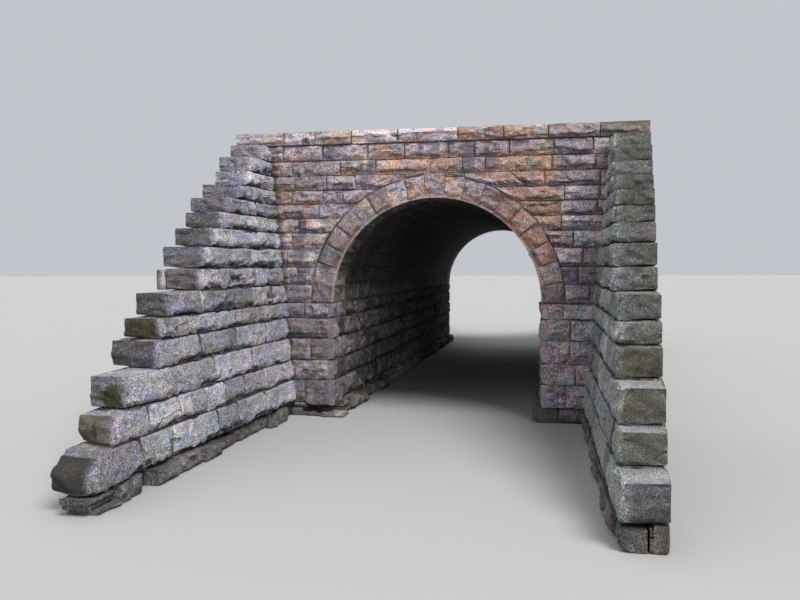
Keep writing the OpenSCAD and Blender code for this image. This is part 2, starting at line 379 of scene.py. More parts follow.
        def side(on, d, key, sgn, swell=0.0):
            if key not in show:
                return 0.0
            ff = smooth(0.0, 0.05, d) * (smooth(calm * 0.5, calm * 1.5, dF) if calm else 1.0)
            m = noise(wx * 3.3, wy * 3.9, wz * 3.9, sd + 9) + 0.5 * noise(wx * 9, wy * 9, wz * 9, sd + 10) \
                + 0.3 * noise(wx * 22, wy * 22, wz * 22, sd + 15)
            if key in rock:
                q = c if key in "lr" else a
                f2 = facets(rng, q, b, depth if key in "lr" else W, H, size=0.19, slope=0.16, step=0.012, soft=3.6)
                m3 = noise(wx * 14, wy * 15, wz * 14, sd + 19)
                swelled = swell - side_amp * 0.8 + f2 + 0.007 * (1 - 2 * np.abs(m3)) + 0.008 * m \
                    + 0.5 * side_amp * smooth(1.05, 0.3, v) * smooth(0.0, 0.25, v)
                return on * sgn * ff * np.maximum(swelled, -side_amp * 1.8)
            return on * sgn * ff * (swell - side_amp * (0.75 + 0.6 * m))
        S = S + (side(onL, np.minimum(np.minimum(dB, dT), dF), "l", -1)
                 + side(onR, np.minimum(np.minimum(dB, dT), dF), "r", 1, end_bulge)) / scale
        T = T + side(onB, np.minimum(np.minimum(dL, dR), dF), "b", -1) \
            + side(onT, np.minimum(np.minimum(dL, dR), dF), "t", 1)
        if back and "k" in show:
            ek = np.minimum(np.minimum(dL, dR), np.minimum(dB, dT))
            hk = smooth(0.0, 0.06, ek) * 0.030 * (0.5 + 0.5 * noise(wx * 2.6, wy * 4, wz * 0 + 3.3, sd + 16))
            N = N + onK * hk                              # worn inward, never past the back plane
        if lift:
            T = T + lift * smooth(0.05, 0.75, c) * smooth(0.60, 0.95, u) * (1 - v) ** 2
        S_w = S
        if worn:
            back_ = smooth(0.35, 1.0, c / depth)
            pull = worn[0] + worn[1] * smooth(0.40, 1.0, v) ** 1.3 + worn[2] * back_ + worn[3] * back_ * smooth(0.5, 0.0, v)
            S = S - pull * smooth(0.75, 0.0, dR) / scale
            T = T - 0.28 * worn[1] * smooth(0.45, 0.0, dR) * smooth(0.55, 1.0, v)
        # laid a little out of line
        tx, ty = rng.normal(0, 0.005, 2)
        fade = np.clip(1 - c / max(depth, 0.01), 0, 1)
        N = N + (tx * (u - 0.5) + ty * (v - 0.5) + rng.normal(0, 0.004) - set_back) * fade
        pos = mapf(S, T, N)
        rim_d = np.minimum(np.minimum(dL, dR), np.minimum(dB, dT))
        seen = (onL & ("l" in show)) | (onR & ("r" in show)) | (onB & ("b" in show)) | (onT & ("t" in show)) | onK
        # edge is dark inside the joints and along the face's edges: dirt in the joints, and painted shade in them
        inner = np.where(seen, 1 - 0.25 * np.clip(dF / 0.03, 0, 1), 1 - np.clip(dF / 0.010, 0, 1))
        edge = np.where(onF, smooth(-0.004, 0.016, np.minimum(dB, dT)) * (0.58 + 0.42 * smooth(-0.004, 0.014, np.minimum(dL, dR))),
                        inner)
        if joint_dirt_and_shade > 1:
            edge = np.where(onF, np.minimum(edge, smooth(-0.004, 0.028, np.minimum(dL, dR))), edge)
        edge = 1 - (1 - edge) * min(joint_dirt_and_shade, 1.0)
        base_tone = float(np.clip(rng.normal(0.5, vary), 0.05, 0.95)) if tone is None else tone
        sidecav = 0.5 + 0.25 * noise(wx * 5, wy * 5, wz * 5, sd + 17)
        # cav is low in the face's hollows and high on its crests: painted shade in the hollows and painted highlight on
        # the crests, beside dirt and bleaching
        A = {"tone": base_tone, "hue": rng.random() if hue is None else hue, "edge": edge,
             "cav": np.clip(np.where(onF, 0.5 + local / 0.07, sidecav), 0, 1),
             "warm": warm + onF * (0.22 * fresh + efresh), "lime": 0.0, "moss": 0.0, "damp": damp,
             "film": film, "margin": 0.0, "olive": 0.0, "soil": 0.0, "brow": onF * brow}
        if any(draft):
            A["margin"] = onF * smooth(0.010, -0.006, e) * (rim_d < max(draft))
        if self.weather:
            for kk, vv in self.weather(S_w, T, N, pos).items():
                A[kk] = A[kk] + vv
        if margin is not None:
            A["margin"] = np.maximum(A["margin"], margin(S, T, N))
        self.add(pos, quads, rim, self.turned((s0 + s1) / 2, (t0 + t1) / 2, mapf), A, 0)

    def block(self, s0, s1, t0, t1, n0, n1, mapf=None, mat=1, cell=0.5, sR=None, sL=None, tB=None, tT=None):
        """Mortar and hearting behind the stones: n0 is its front, n1 its back."""
        mapf = mapf or self.mapf
        nu, nv = max(2, int((s1 - s0) / cell)), max(2, int((t1 - t0) / cell))
        ijk, quads, _ = box_lattice(nu, nv, 2, True)
        u, v, w = ijk[:, 0] / nu, ijk[:, 1] / nv, ijk[:, 2] / 2
        T = t0 + (t1 - t0) * v
        lo = sL(T) if callable(sL) else s0
        hi = sR(T) if callable(sR) else s1
        S = lo + (hi - lo) * u
        if callable(tB) or callable(tT):
            bot = tB(S) if callable(tB) else t0
            top = tT(S) if callable(tT) else t1
            T = bot + np.maximum(top - bot, 0.002) * v
        fr = n0(S, T) if callable(n0) else n0
        bk = n1(S, T) if callable(n1) else n1
        N = fr + (bk - fr) * w
        pos = mapf(S, T, N)
        A = {"tone": 0.5, "hue": 0.5, "edge": 1.0}
        if self.weather:
            A.update(self.weather(S, T, N, pos))
        self.add(pos, quads, None, self.turned((s0 + s1) / 2, (t0 + t1) / 2, mapf), A, mat)

    # -------------------------------------------------------------- the object
    def build(self, materials):
        verts = np.concatenate(self.verts)
        quads = np.concatenate(self.quads)
        nq, nr = len(quads), len(self.rims)
        loops = np.concatenate([quads.ravel()] + self.rims) if nr else quads.ravel()
        totals = np.concatenate([np.full(nq, 4), np.array([len(x) for x in self.rims], dtype=int)]).astype(np.int32)
        starts = np.concatenate([[0], np.cumsum(totals)[:-1]]).astype(np.int32)
        me = bpy.data.meshes.new(self.name)
        me.vertices.add(len(verts))
        me.vertices.foreach_set("co", verts.astype(np.float32).ravel())
        me.loops.add(len(loops))
        me.loops.foreach_set("vertex_index", loops.astype(np.int32))
        me.polygons.add(len(totals))
        me.polygons.foreach_set("loop_start", starts)
        mats = np.concatenate(self.quad_mat + [np.array(self.rim_mat, dtype=int)]) if nr else np.concatenate(self.quad_mat)
        me.polygons.foreach_set("material_index", mats.astype(np.int32))
        me.polygons.foreach_set("use_smooth", np.ones(len(totals), dtype=bool))
        for k, parts in self.attrs.items():
            at = me.attributes.new(k, "FLOAT", "POINT")
            at.data.foreach_set("value", np.concatenate(parts).astype(np.float32))
        me.update(calc_edges=True)
        me.validate()
        me.set_sharp_from_angle(angle=math.radians(48))
        for m in materials:
            me.materials.append(m)
        ob = bpy.data.objects.new(self.name, me)
        bpy.context.scene.collection.objects.link(ob)
        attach(ob, "root")
        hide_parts(*self.nodes)
        return ob


# ------------------------------------------------------------------ materials
def new_mat(name):
    m = bpy.data.materials.new(name)
    m.use_nodes = True
    nt = m.node_tree
    for n in list(nt.nodes):
        nt.nodes.remove(n)
    return m, nt


class Nodes:
    """Short hand for building a node tree."""

    def __init__(self, nt):
        self.nt = nt
        self.coord = nt.nodes.new("ShaderNodeTexCoord").outputs["Object"]

    def link(self, a, b):
        self.nt.links.new(a, b)

    def put(self, socket, v):
        if hasattr(v, "is_output"):
            self.link(v, socket)
        else:
            socket.default_value = v

    def attr(self, name):
        n = self.nt.nodes.new("ShaderNodeAttribute")
        n.attribute_type = "GEOMETRY"
        n.attribute_name = name
        return n.outputs["Fac"]

    def noise(self, scale, detail=4.0, rough=0.55, stretch=None, lac=2.0, distort=0.0, shift=0.0):
        c = self.coord
        if stretch or shift:
            mp = self.nt.nodes.new("ShaderNodeMapping")
            self.link(c, mp.inputs["Vector"])
            mp.inputs["Scale"].default_value = stretch or (1, 1, 1)
            mp.inputs["Location"].default_value = (shift, shift * 1.7, shift * 0.6)
            c = mp.outputs["Vector"]
        n = self.nt.nodes.new("ShaderNodeTexNoise")
        self.link(c, n.inputs["Vector"])
        n.inputs["Scale"].default_value = scale
        n.inputs["Detail"].default_value = detail
        n.inputs["Roughness"].default_value = rough
        n.inputs["Lacunarity"].default_value = lac
        n.inputs["Distortion"].default_value = distort
        return n.outputs["Fac"]

    def voronoi(self, scale, feature="F1", rand=1.0, stretch=None):
        c = self.coord
        if stretch:
            mp = self.nt.nodes.new("ShaderNodeMapping")
            self.link(c, mp.inputs["Vector"])
            mp.inputs["Scale"].default_value = stretch
            c = mp.outputs["Vector"]
        n = self.nt.nodes.new("ShaderNodeTexVoronoi")
        n.feature = feature
        self.link(c, n.inputs["Vector"])
        n.inputs["Scale"].default_value = scale
        n.inputs["Randomness"].default_value = rand
        return n.outputs["Distance"]

    def math(self, op, a, b=0.0, c=None, clamp=False):
        n = self.nt.nodes.new("ShaderNodeMath")
        n.operation = op
        n.use_clamp = clamp
        self.put(n.inputs[0], a)
        self.put(n.inputs[1], b)
        if c is not None:
            self.put(n.inputs[2], c)
        return n.outputs[0]

    def step(self, v, lo, hi, a=0.0, b=1.0, kind="SMOOTHSTEP"):
        n = self.nt.nodes.new("ShaderNodeMapRange")
        n.interpolation_type = kind
        self.put(n.inputs["Value"], v)
        self.put(n.inputs["From Min"], lo)
        self.put(n.inputs["From Max"], hi)
        self.put(n.inputs["To Min"], a)
        self.put(n.inputs["To Max"], b)
        return n.outputs["Result"]

    def mix(self, f, a, b, kind="MIX"):
        n = self.nt.nodes.new("ShaderNodeMix")
        n.data_type = "RGBA"
        n.blend_type = kind
        self.put(n.inputs[0], f)
        for s, v in ((n.inputs[6], a), (n.inputs[7], b)):
            if isinstance(v, tuple):
                v = (v[0], v[1], v[2], 1.0)
            self.put(s, v)
        return n.outputs[2]

    def grey(self, v):
        n = self.nt.nodes.new("ShaderNodeCombineColor")
        for i in range(3):
            self.put(n.inputs[i], v)
        return n.outputs[0]

    def finish(self, colour, rough, height, bump=0.6, dist=0.01, spec=0.3):
        b = self.nt.nodes.new("ShaderNodeBsdfPrincipled")
        self.put(b.inputs["Base Color"], colour)
        self.put(b.inputs["Roughness"], rough)
        b.inputs["Specular IOR Level"].default_value = spec
        if height is not None:
            bp = self.nt.nodes.new("ShaderNodeBump")
            bp.inputs["Strength"].default_value = bump
            bp.inputs["Distance"].default_value = dist
            self.put(bp.inputs["Height"], height)
            self.link(bp.outputs["Normal"], b.inputs["Normal"])
        o = self.nt.nodes.new("ShaderNodeOutputMaterial")
        self.link(b.outputs[0], o.inputs["Surface"])


def stone_material(name, grey, warm, pale, dark, warm_bias=0.0, speck=0.5, bump=0.8, bright=1.0, contrast=1.0,
                   margin=(0.42, 0.35, 0.30), lime=(0.61, 0.53, 0.48), tint=((1.10, 0.99, 0.90), (0.91, 0.995, 1.09)), mids=1.0):
    """Weathered sandstone. grey is its weathered skin, warm its own colour where the skin is worn."""
    m, nt = new_mat(name)
    N = Nodes(nt)
    A, M, S = (lambda x, y: N.math("ADD", x, y)), (lambda x, y: N.math("MULTIPLY", x, y)), \
        (lambda x, y: N.math("SUBTRACT", x, y))
    tone, hue, edge, cav = N.attr("tone"), N.attr("hue"), N.attr("edge"), N.attr("cav")
    aw, al, am, ad = N.attr("warm"), N.attr("lime"), N.attr("moss"), N.attr("damp")
    af, ag, ao, asl, ab = N.attr("film"), N.attr("margin"), N.attr("olive"), N.attr("soil"), N.attr("brow")
    big = N.noise(1.1, 2.5, 0.50)
    soft = N.noise(3.6, 1.5, 0.45, shift=33)
    mid = N.noise(4.6, 7, 0.68, shift=3.1)
    small = N.noise(19, 6, 0.72, shift=9.0)
    tiny = N.noise(75, 4, 0.70, shift=5.0)
    grit = N.noise(260, 2, 0.6, shift=7.0)
    fines = N.noise(44, 1.5, 0.6, shift=15.0)
    bed = N.noise(2.4, 5, 0.62, stretch=(0.9, 0.9, 4.5), shift=1.3, distort=0.9)
    # warm against grey
    w = A(A(M(S(big, 0.5), 1.3), M(S(soft, 0.5), 1.2)), A(M(S(hue, 0.5), 0.50), aw))
    w = N.step(w, 0.0 - warm_bias, 0.78 - warm_bias)
    base = N.mix(w, grey, warm)
    # bleached crests and dirty hollows; through cav it is also painted highlight on the crests and painted shade in the
    # hollows
    k = A(A(M(S(mid, 0.5), 0.60 * mids), M(S(small, 0.5), 0.95 * mids)), M(S(cav, 0.5), 0.62 * mids))
    k = A(k, A(M(S(bed, 0.5), 0.45), M(S(fines, 0.5), 2.0 * contrast)))
    k = A(k, M(S(tiny, 0.5), 1.0))
    base = N.mix(M(N.step(k, 0.00, 0.55), S(0.72, M(w, 0.30))), base, pale)
    base = N.mix(M(N.step(k, 0.00, -0.50), 0.80), base, dark)
    # the stone's own tone and its grain
    tn = N.step(tone, -0.5, 1.6, 0.16 * bright, 1.924 * bright, "LINEAR")
    tn = M(tn, N.step(N.noise(0.9, 3, 0.6, shift=41), 0.30, 0.70, 0.72, 1.28, "LINEAR"))
    gr = N.step(A(A(M(tiny, 0.47), M(fines, 0.47)), A(M(small, 0.13), M(grit, 0.05))), 0.36, 0.76, 0.44, 1.56, "LINEAR")
    base = N.mix(1.0, base, N.grey(M(tn, gr)), "MULTIPLY")
    base = N.mix(1.0, base, N.mix(N.step(N.noise(2.8, 2, 0.50, shift=71), 0.38, 0.62), *tint), "MULTIPLY")
    base = N.mix(1.0, base, N.mix(N.step(N.noise(1.6, 2.5, 0.50, shift=91), 0.36, 0.64), (1.03, 0.968, 1.02), (0.97, 1.032, 0.955)), "MULTIPLY")
    # fissures and the edges of flakes
    fis = N.step(N.math("ABSOLUTE", S(N.noise(8.0, 5, 0.62, stretch=(0.8, 0.8, 1.5), shift=6.0, distort=0.5), 0.5)), 0.0, 0.030, 1.0, 0.0)
    fis = M(fis, N.step(N.noise(3.7, 3, 0.6, shift=27), 0.40, 0.56))
    base = N.mix(M(fis, 0.70), base, dark)
    # purple-grey film in strips
    base = N.mix(M(N.step(A(af, M(S(mid, 0.5), 0.9)), 0.10, 0.55), 0.78), base, (0.140, 0.124, 0.152))
    # olive growth
    base = N.mix(M(N.step(A(ao, M(S(small, 0.5), 1.0)), 0.15, 0.75), 0.75), base, (0.125, 0.108, 0.058))
    # pale crusts, and dark pits: painted shade in small hollows
    sp = A(M(small, 0.55), M(tiny, 0.50))
    msk = N.step(N.noise(3.3, 3, 0.6, shift=21), 0.44, 0.60)
    base = N.mix(M(M(N.step(sp, 0.575, 0.66), msk), speck), base, (0.60, 0.57, 0.55))
    pitm = M(N.step(sp, 0.475, 0.40), N.step(N.noise(6, 3, 0.5, shift=31), 0.42, 0.60))
    base = N.mix(M(pitm, 0.75), base, (0.045, 0.038, 0.040))
    # tooled margins keep the stone's own colour
    base = N.mix(M(ag, N.step(A(small, M(S(mid, 0.5), 0.5)), 0.30, 0.65, 0.15, 0.75)), base, N.mix(1.0, margin, N.grey(gr), "MULTIPLY"))
    # lime and salt, and painted light where the attribute is raised for it
    ln = A(M(N.noise(7.5, 6, 0.74, stretch=(1, 1, 0.42), shift=12), 0.9), M(N.noise(30, 5, 0.72, shift=2), 0.45))
    lm = N.step(A(ln, M(al, 0.92)), 0.90, 1.34)
    base = N.mix(M(lm, 0.80), base, N.mix(1.0, lime, N.grey(gr), "MULTIPLY"))
    fl = M(N.step(N.noise(21, 2, 0.6, shift=51), 0.60, 0.68), N.step(N.noise(5, 3, 0.6, shift=61), 0.45, 0.60))
    base = N.mix(M(fl, A(0.22, M(al, 0.9))), base, lime)
    # overhangs: a lit edge, a dark line under it and shade below
    gone = N.step(N.noise(7, 3, 0.6, shift=81), 0.40, 0.50)
    base = N.mix(M(M(N.step(ab, 0.50, 0.80), N.step(ab, 0.86, 0.98, 1.0, 0.0)), 0.25), base, pale)
    base = N.mix(M(M(N.step(ab, 0.90, 1.03), N.step(ab, 1.20, 1.60, 1.0, 0.0)), M(gone, 0.78)), base, tuple(0.5 * x for x in dark))
    base = N.mix(M(M(N.step(ab, 0.95, 1.10), N.step(ab, 1.30, 2.70, 1.0, 0.0)), M(gone, 0.38)), base, dark)
    # soil washed over it, and painted shade: on the wing ends, in corners and reveals, and inside the passage
    sl = N.step(A(asl, M(M(S(mid, 0.5), 0.7), N.step(asl, 0.0, 0.1))), 0.0, 1.0, kind="LINEAR")
    base = N.mix(sl, base, N.mix(1.0, base, (0.28, 0.268, 0.272), "MULTIPLY"))
    # damp and soot, and painted shade: deep in the passage, under the arch and vault, on the wing ends and in the
    # reveals
    dm = N.step(A(ad, M(S(mid, 0.5), 0.9)), 0.18, 0.85)
    base = N.mix(M(dm, 0.80), base, (0.032, 0.030, 0.033))
    # moss
    mn = A(M(N.noise(9, 6, 0.70, shift=17), 0.8), M(small, 0.35))
    mm = N.step(A(am, mn), 0.98, 1.20)
    mossc = N.mix(N.step(N.noise(26, 5, 0.72), 0.36, 0.64), (0.014, 0.016, 0.006), (0.062, 0.060, 0.018))
    base = N.mix(M(mm, 0.95), base, mossc)
    # dirt in joints, and painted shade in them and along the stones' edges
    base = N.mix(M(N.step(edge, 0.0, 1.0, 1.0, 0.0), 0.80), base, (0.045, 0.040, 0.038))
    # relief
    ridge = N.math("ABSOLUTE", S(N.noise(11, 7, 0.72, shift=4), 0.5))
    h = A(M(ridge, -2.4), A(M(fines, 0.90), M(grit, 0.07)))
    h = S(h, A(M(pitm, 0.20), M(fis, 0.22)))
    h = A(M(h, S(1.0, M(ag, 0.7))), M(M(mm, N.noise(90, 3, 0.7)), 0.5))
    rough = N.step(small, 0.3, 0.7, 0.80, 0.98, "LINEAR")
    N.finish(base, rough, h, bump=bump, dist=0.032, spec=0.22)
    return m


def mortar_material(name, colour, dark):
    m, nt = new_mat(name)
    N = Nodes(nt)
    a = N.noise(4.5, 6, 0.65)
    b = N.noise(45, 4, 0.7, shift=2)
    base = N.mix(N.step(a, 0.44, 0.56), colour, dark)
    base = N.mix(1.0, base, N.grey(N.step(b, 0.2, 0.8, 0.7, 1.25, "LINEAR")), "MULTIPLY")
    N.finish(base, 0.95, N.math("ADD", N.math("MULTIPLY", a, 0.5), b), bump=0.7, dist=0.01)
    return m


M_WALL = stone_material("head_wall_sandstone", (0.268, 0.230, 0.266), (0.365, 0.220, 0.168), (0.58, 0.50, 0.51),
                        (0.080, 0.066, 0.076), warm_bias=-0.02, margin=(0.235, 0.203, 0.222), lime=(0.63, 0.545, 0.475))
M_RING = stone_material("ring_sandstone", (0.270, 0.224, 0.248), (0.370, 0.213, 0.160), (0.58, 0.485, 0.47),
                        (0.105, 0.080, 0.082), warm_bias=0.03, bump=0.65, margin=(0.33, 0.245, 0.212))
M_COPING = stone_material("coping_sandstone", (0.420, 0.366, 0.385), (0.400, 0.235, 0.182), (0.60, 0.52, 0.52),
                          (0.150, 0.115, 0.118), warm_bias=-0.14, bright=1.06)
M_WING = stone_material("wing_sandstone", (0.276, 0.272, 0.322), (0.34, 0.298, 0.290), (0.62, 0.60, 0.67),
                        (0.070, 0.066, 0.078), warm_bias=-0.24, bright=1.12, lime=(0.62, 0.55, 0.54),
                        tint=((1.07, 1.02, 0.91), (0.94, 0.99, 1.08)), mids=0.36, contrast=1.05, speck=0.35)
M_WING_RIGHT = stone_material("wing_sandstone_olive", (0.276, 0.286, 0.312), (0.325, 0.305, 0.275), (0.60, 0.61, 0.62),
                              (0.068, 0.070, 0.070), warm_bias=-0.24, bright=1.22, lime=(0.60, 0.56, 0.54),
                              tint=((1.04, 1.03, 0.90), (0.95, 1.01, 1.03)), mids=0.5, contrast=1.0, speck=0.35)
# a darker copy of the stone: painted shade for the passage
M_BARREL_SHADED = stone_material("barrel_sandstone_shaded", (0.168, 0.158, 0.176), (0.205, 0.165, 0.145), (0.38, 0.355, 0.37),
                          (0.040, 0.036, 0.040), warm_bias=-0.10, speck=0.3, contrast=2.2, mids=2.0)
M_FOOT = stone_material("footing_sandstone", (0.112, 0.107, 0.110), (0.15, 0.127, 0.110), (0.26, 0.245, 0.23),
                        (0.032, 0.030, 0.031), warm_bias=-0.05)
M_MORTAR = mortar_material("lime_mortar", (0.27, 0.235, 0.215), (0.075, 0.065, 0.062))
# near-black mortar: painted shade in the joints and hollows of the footings and the barrel
M_DARK_MORTAR = mortar_material("sooty_mortar", (0.060, 0.055, 0.052), (0.022, 0.020, 0.020))

WALLS = []


def wall(name, nodes, slot, mapf, weather=None, mats=None, carve=None):
    w = Wall(name, nodes if isinstance(nodes, (list, tuple)) else [nodes], slot, mapf, weather, carve)
    w.mats = mats
    WALLS.append(w)
    return w


# ------------------------------------------------------------------ where things are
def end_map(end):
    """(x, t, n) on a head wall's face. The back end is the front one turned half round."""
    if end == "front":
        return lambda s, t, n: np.stack([s, -HALF_L - n, t], axis=-1)
    return lambda s, t, n: np.stack([-s, HALF_L + n, t], axis=-1)


def inner_map(end):
    """The head wall's own back face: s runs the same way, n points into the fill."""
    y = -(HALF_L - WALL_T)
    if end == "front":
        return lambda s, t, n: np.stack([s, y + n, t], axis=-1)
    return lambda s, t, n: np.stack([-s, -y - n, t], axis=-1)


def ring_out(t):
    """Half width of the ring's outer curve at height t."""
    d = np.asarray(t) - Z_SPRING
    return np.sqrt(np.maximum(R_OUT ** 2 - d * d, 0.0))


def ring_top(s):
    """Height of the ring's outer curve at s."""
    return Z_SPRING + np.sqrt(np.maximum(R_OUT ** 2 - np.asarray(s) ** 2, 0.0))


FLAT_TOP = 5.272        # the front ring stone right of the keystone is cut level at its top


def patch_at(x, y, cx, cy, rx, ry):
    return np.exp(-np.abs((x - cx) / rx) ** 4 - np.abs((y - cy) / ry) ** 4)


def bump_at(x, y, cx, cy, rx, ry):
    return np.exp(-(((x - cx) / rx) ** 2 + ((y - cy) / ry) ** 2))


def under_of(z):
    """The lower bed of the course that height z is in."""
    for i in range(15):
        if UNDER[i] <= z < TOP[i] + 1e-6:
            return UNDER[i]
    return 0.0


def ledges_fn(rows, seed, low=under_of):
    """Broken-back strips: each row is (s from, s to, height of its brow, how deep, how fresh)."""
    def f(S, T):
        out, fresh, edge = np.zeros_like(S), np.zeros_like(S), np.zeros_like(S)
        for k, (a, b, z, drop, new) in enumerate(rows):
            if not drop:
                continue
            zb = low(z)
            line = z + 0.030 * noise(S * 2.6, S * 0 + k, S * 0, seed) + 0.012 * noise(S * 10, S * 0 + k, S * 0, seed + 1)
            ends = smooth(a - 0.02, a + 0.06, S) * smooth(b + 0.02, b - 0.06, S)
            inside = (T > zb - 0.02) * (T < z + 0.12)
            m = ends * smooth(line + 0.010, line - 0.012, T) * inside
            brow = ends * np.exp(-((T - line - 0.035) / 0.035) ** 2) * inside
            out = out - drop * m * (0.8 + 0.35 * noise(S * 4, T * 6, S * 0 + k, seed + 2)) + 0.30 * drop * brow
            fresh = fresh + new * m
            # edge places the painted highlight above the brow, the dark line and the painted shade below it
            edge = np.maximum(edge, (np.clip((line - T) / 0.05, -1.0, 2.0) + 1.0) * ends * inside)
        return out, fresh, edge
    return f


def bites_fn(rows, seed):
    """Hollows eaten out of the face: each row is (s, t, half length, half height, depth)."""
    def f(S, T):
        out, edge = np.zeros_like(S), np.zeros_like(S)
        w = noise(S * 5, T * 7, S * 0, seed) + 0.8 * noise(S * 13, T * 15, S * 0, seed + 1)
        for s, t, rs, rt, d in rows:
            q = ((S - s) / rs) ** 2 + ((T - t) / rt) ** 2 + 0.55 * w
            out = np.minimum(out, -d * np.clip(1 - q, 0, 1) ** 0.38)
            # edge paints the hollow dark: painted shadow inside it
            edge = np.maximum(edge, np.clip(2.6 * (1 - q), 0, 1.1))
        return out, np.zeros_like(S), edge
    return f


# ------------------------------------------------------------------ weathering of the head walls
def head_weather(end):
    def f(S, T, N, pos):
        z = T
        zero = np.zeros_like(S)
        S = pos[..., 0] * (1.0 if end == "front" else -1.0)
        in_ = (HALF_L - np.abs(pos[..., 1])) * smooth(R_IN + 0.11, R_IN + 0.03, np.abs(S))
        in_ = np.where(z < Z_SPRING, in_, 0.0)
        if end == "front":
            orange = 0.95 * bump_at(S, z, 1.75, 5.45, 0.95, 0.42) + 0.28 * bump_at(S, z, 2.0, 4.75, 0.6, 0.40) \
                + 0.32 * bump_at(S, z, 2.35, 3.9, 0.35, 0.7) + 0.45 * bump_at(S, z, 0.15, 5.55, 0.75, 0.22) \
                + 0.30 * bump_at(S, z, -1.85, 5.80, 0.22, 0.14) + 0.38 * bump_at(S, z, -1.92, 5.48, 0.18, 0.13) \
                + 0.35 * bump_at(S, z, -0.9, 5.75, 0.45, 0.12) + 0.30 * bump_at(S, z, -2.85, 4.75, 0.25, 0.10)
            warm = orange + 0.10 * smooth(0.5, -0.5, S) * smooth(3.2, 3.8, z) + 0.16 * bump_at(S, z, -3.2, 4.9, 0.5, 0.9) + 0.12 * bump_at(S, z, -2.6, 2.1, 0.7, 0.35) \
                - 0.30 * bump_at(S, z, -2.3, 5.8, 0.30, 0.16) - 0.55 * smooth(2.55, 3.1, S) * smooth(2.2, 3.0, z) \
                - 0.36 * smooth(2.9, 2.0, z) - 0.18 * smooth(2.2, 1.0, z) + 0.34 * bump_at(S, z, 2.45, 2.0, 0.25, 1.4) \
                - 0.16 * smooth(2.6, 2.0, z) * smooth(0.5, -0.5, S) + 0.18 * bump_at(S, z, -0.75, 5.5, 0.55, 0.3)
            lime = 0.22 * bump_at(S, z, -2.92, 5.50, 0.22, 0.18) \
                + 0.50 * bump_at(S, z, -1.54, 5.62, 0.06, 0.32) + 0.56 * bump_at(S, z, -2.62, 4.27, 0.24, 0.12) \
                + 0.64 * bump_at(S, z, -2.60, 4.03, 0.32, 0.06) + 0.64 * bump_at(S, z, -3.32, 4.00, 0.10, 0.16) \
                + 0.60 * bump_at(S, z, -3.32, 3.60, 0.10, 0.14) + 0.60 * bump_at(S, z, -2.76, 3.58, 0.12, 0.15) \
                + 0.56 * bump_at(S, z, -3.32, 3.10, 0.10, 0.12) + 0.36 * bump_at(S, z, -2.80, 3.15, 0.07, 0.13) \
                + 0.45 * bump_at(S, z, -2.96, 5.46, 0.05, 0.12) + 0.40 * bump_at(S, z, -2.52, 5.60, 0.03, 0.10) \
                + 0.40 * bump_at(S, z, -2.30, 5.60, 0.03, 0.10) + 0.42 * bump_at(S, z, -2.13, 5.53, 0.03, 0.15) \
                + 0.40 * bump_at(S, z, -2.88, 5.00, 0.17, 0.04) + 0.34 * bump_at(S, z, -2.80, 4.58, 0.12, 0.12) \
                + 0.30 * bump_at(S, z, -2.80, 4.90, 0.16, 0.05) \
                + 0.14 * bump_at(S, z, -2.5, 4.85, 0.5, 0.12) + 0.12 * bump_at(S, z, -2.9, 3.55, 0.10, 0.4) \
                + 0.10 * smooth(5.3, 5.7, z) * smooth(1.0, -1.0, S) + 0.12 * bump_at(S, z, -2.7, 1.1, 0.4, 0.25) \
                + 0.30 * bump_at(S, z, 3.0, 3.75, 0.3, 0.45)
            film = 0.60 * bump_at(S, z, -2.30, 5.85, 0.20, 0.22) + 0.84 * patch_at(S, z, -3.06, 3.93, 0.13, 0.20) \
                + 0.64 * patch_at(S, z, -2.98, 4.27, 0.10, 0.18) + 0.58 * patch_at(S, z, -3.09, 3.55, 0.16, 0.21) \
                + 0.60 * patch_at(S, z, -3.02, 3.15, 0.13, 0.21) + 0.44 * patch_at(S, z, -3.10, 2.75, 0.25, 0.21) \
                + 0.36 * patch_at(S, z, -3.10, 2.38, 0.20, 0.18) + 0.42 * patch_at(S, z, -2.98, 5.53, 0.17, 0.17) \
                + 0.50 * patch_at(S, z, -1.53, 5.36, 0.19, 0.33) \
                + 0.12 * bump_at(S, z, -2.9, 2.4, 0.5, 0.25)
            for cx, w_, k, z0, z1 in ((-0.30, 0.07, 0.55, 5.66, 6.04), (0.02, 0.12, 0.60, 5.66, 6.04),
                                      (0.30, 0.08, 0.55, 5.66, 6.04), (0.74, 0.13, 0.85, 5.33, 6.04),
                                      (1.15, 0.07, 0.75, 5.36, 6.04), (1.25, 0.11, 0.60, 5.36, 5.72),
                                      (1.75, 0.07, 0.35, 5.70, 6.04), (-1.35, 0.10, 0.35, 5.5, 6.04)):
                film = film + 0.9 * k * np.exp(-np.abs((S - cx + 0.03 * noise(z * 6, S * 4, S * 0 + cx, 47)) / w_) ** 2.5) * smooth(z0 - 0.04, z0 + 0.04, z) * smooth(z1 + 0.04, z1 - 0.04, z)
            film = film + (0.04 + 0.28 * smooth(3.42, 3.25, z)) * smooth(2.75, 3.1, S) * smooth(2.4, 2.7, z) \
                + (0.15 * smooth(2.0, 1.0, z) + 0.20 * smooth(2.6, 2.3, z)) * smooth(0.5, -0.5, S)
            side_ = -(WING_X + BATTER * (z - FOOT))                  # the corner with the left wing wall
            nook = smooth(0.26, 0.05, S - side_)
            damp = 0.06 * smooth(2.9, 3.4, S) + 0.20 * smooth(0.9, 0.35, z) + 0.30 * bump_at(S, z, -3.35, 6.0, 0.25, 0.08) \
                + 0.12 * nook * smooth(2.0, 3.0, z)
            film = film + 0.5 * smooth(0.02, 0.12, in_) * smooth(1.25, 0.8, z)
            olive = 0.45 * nook * smooth(2.4, 3.4, z) + 0.35 * bump_at(S, z, -3.15, 5.3, 0.25, 0.5) \
                + 0.34 * smooth(3.05, 3.50, S) * smooth(2.4, 3.4, z) + 0.35 * bump_at(S, z, 2.8, 5.25, 0.5, 0.2)
            moss = 0.12 * smooth(3.38, 3.50, S) * smooth(3.0, 3.6, z)
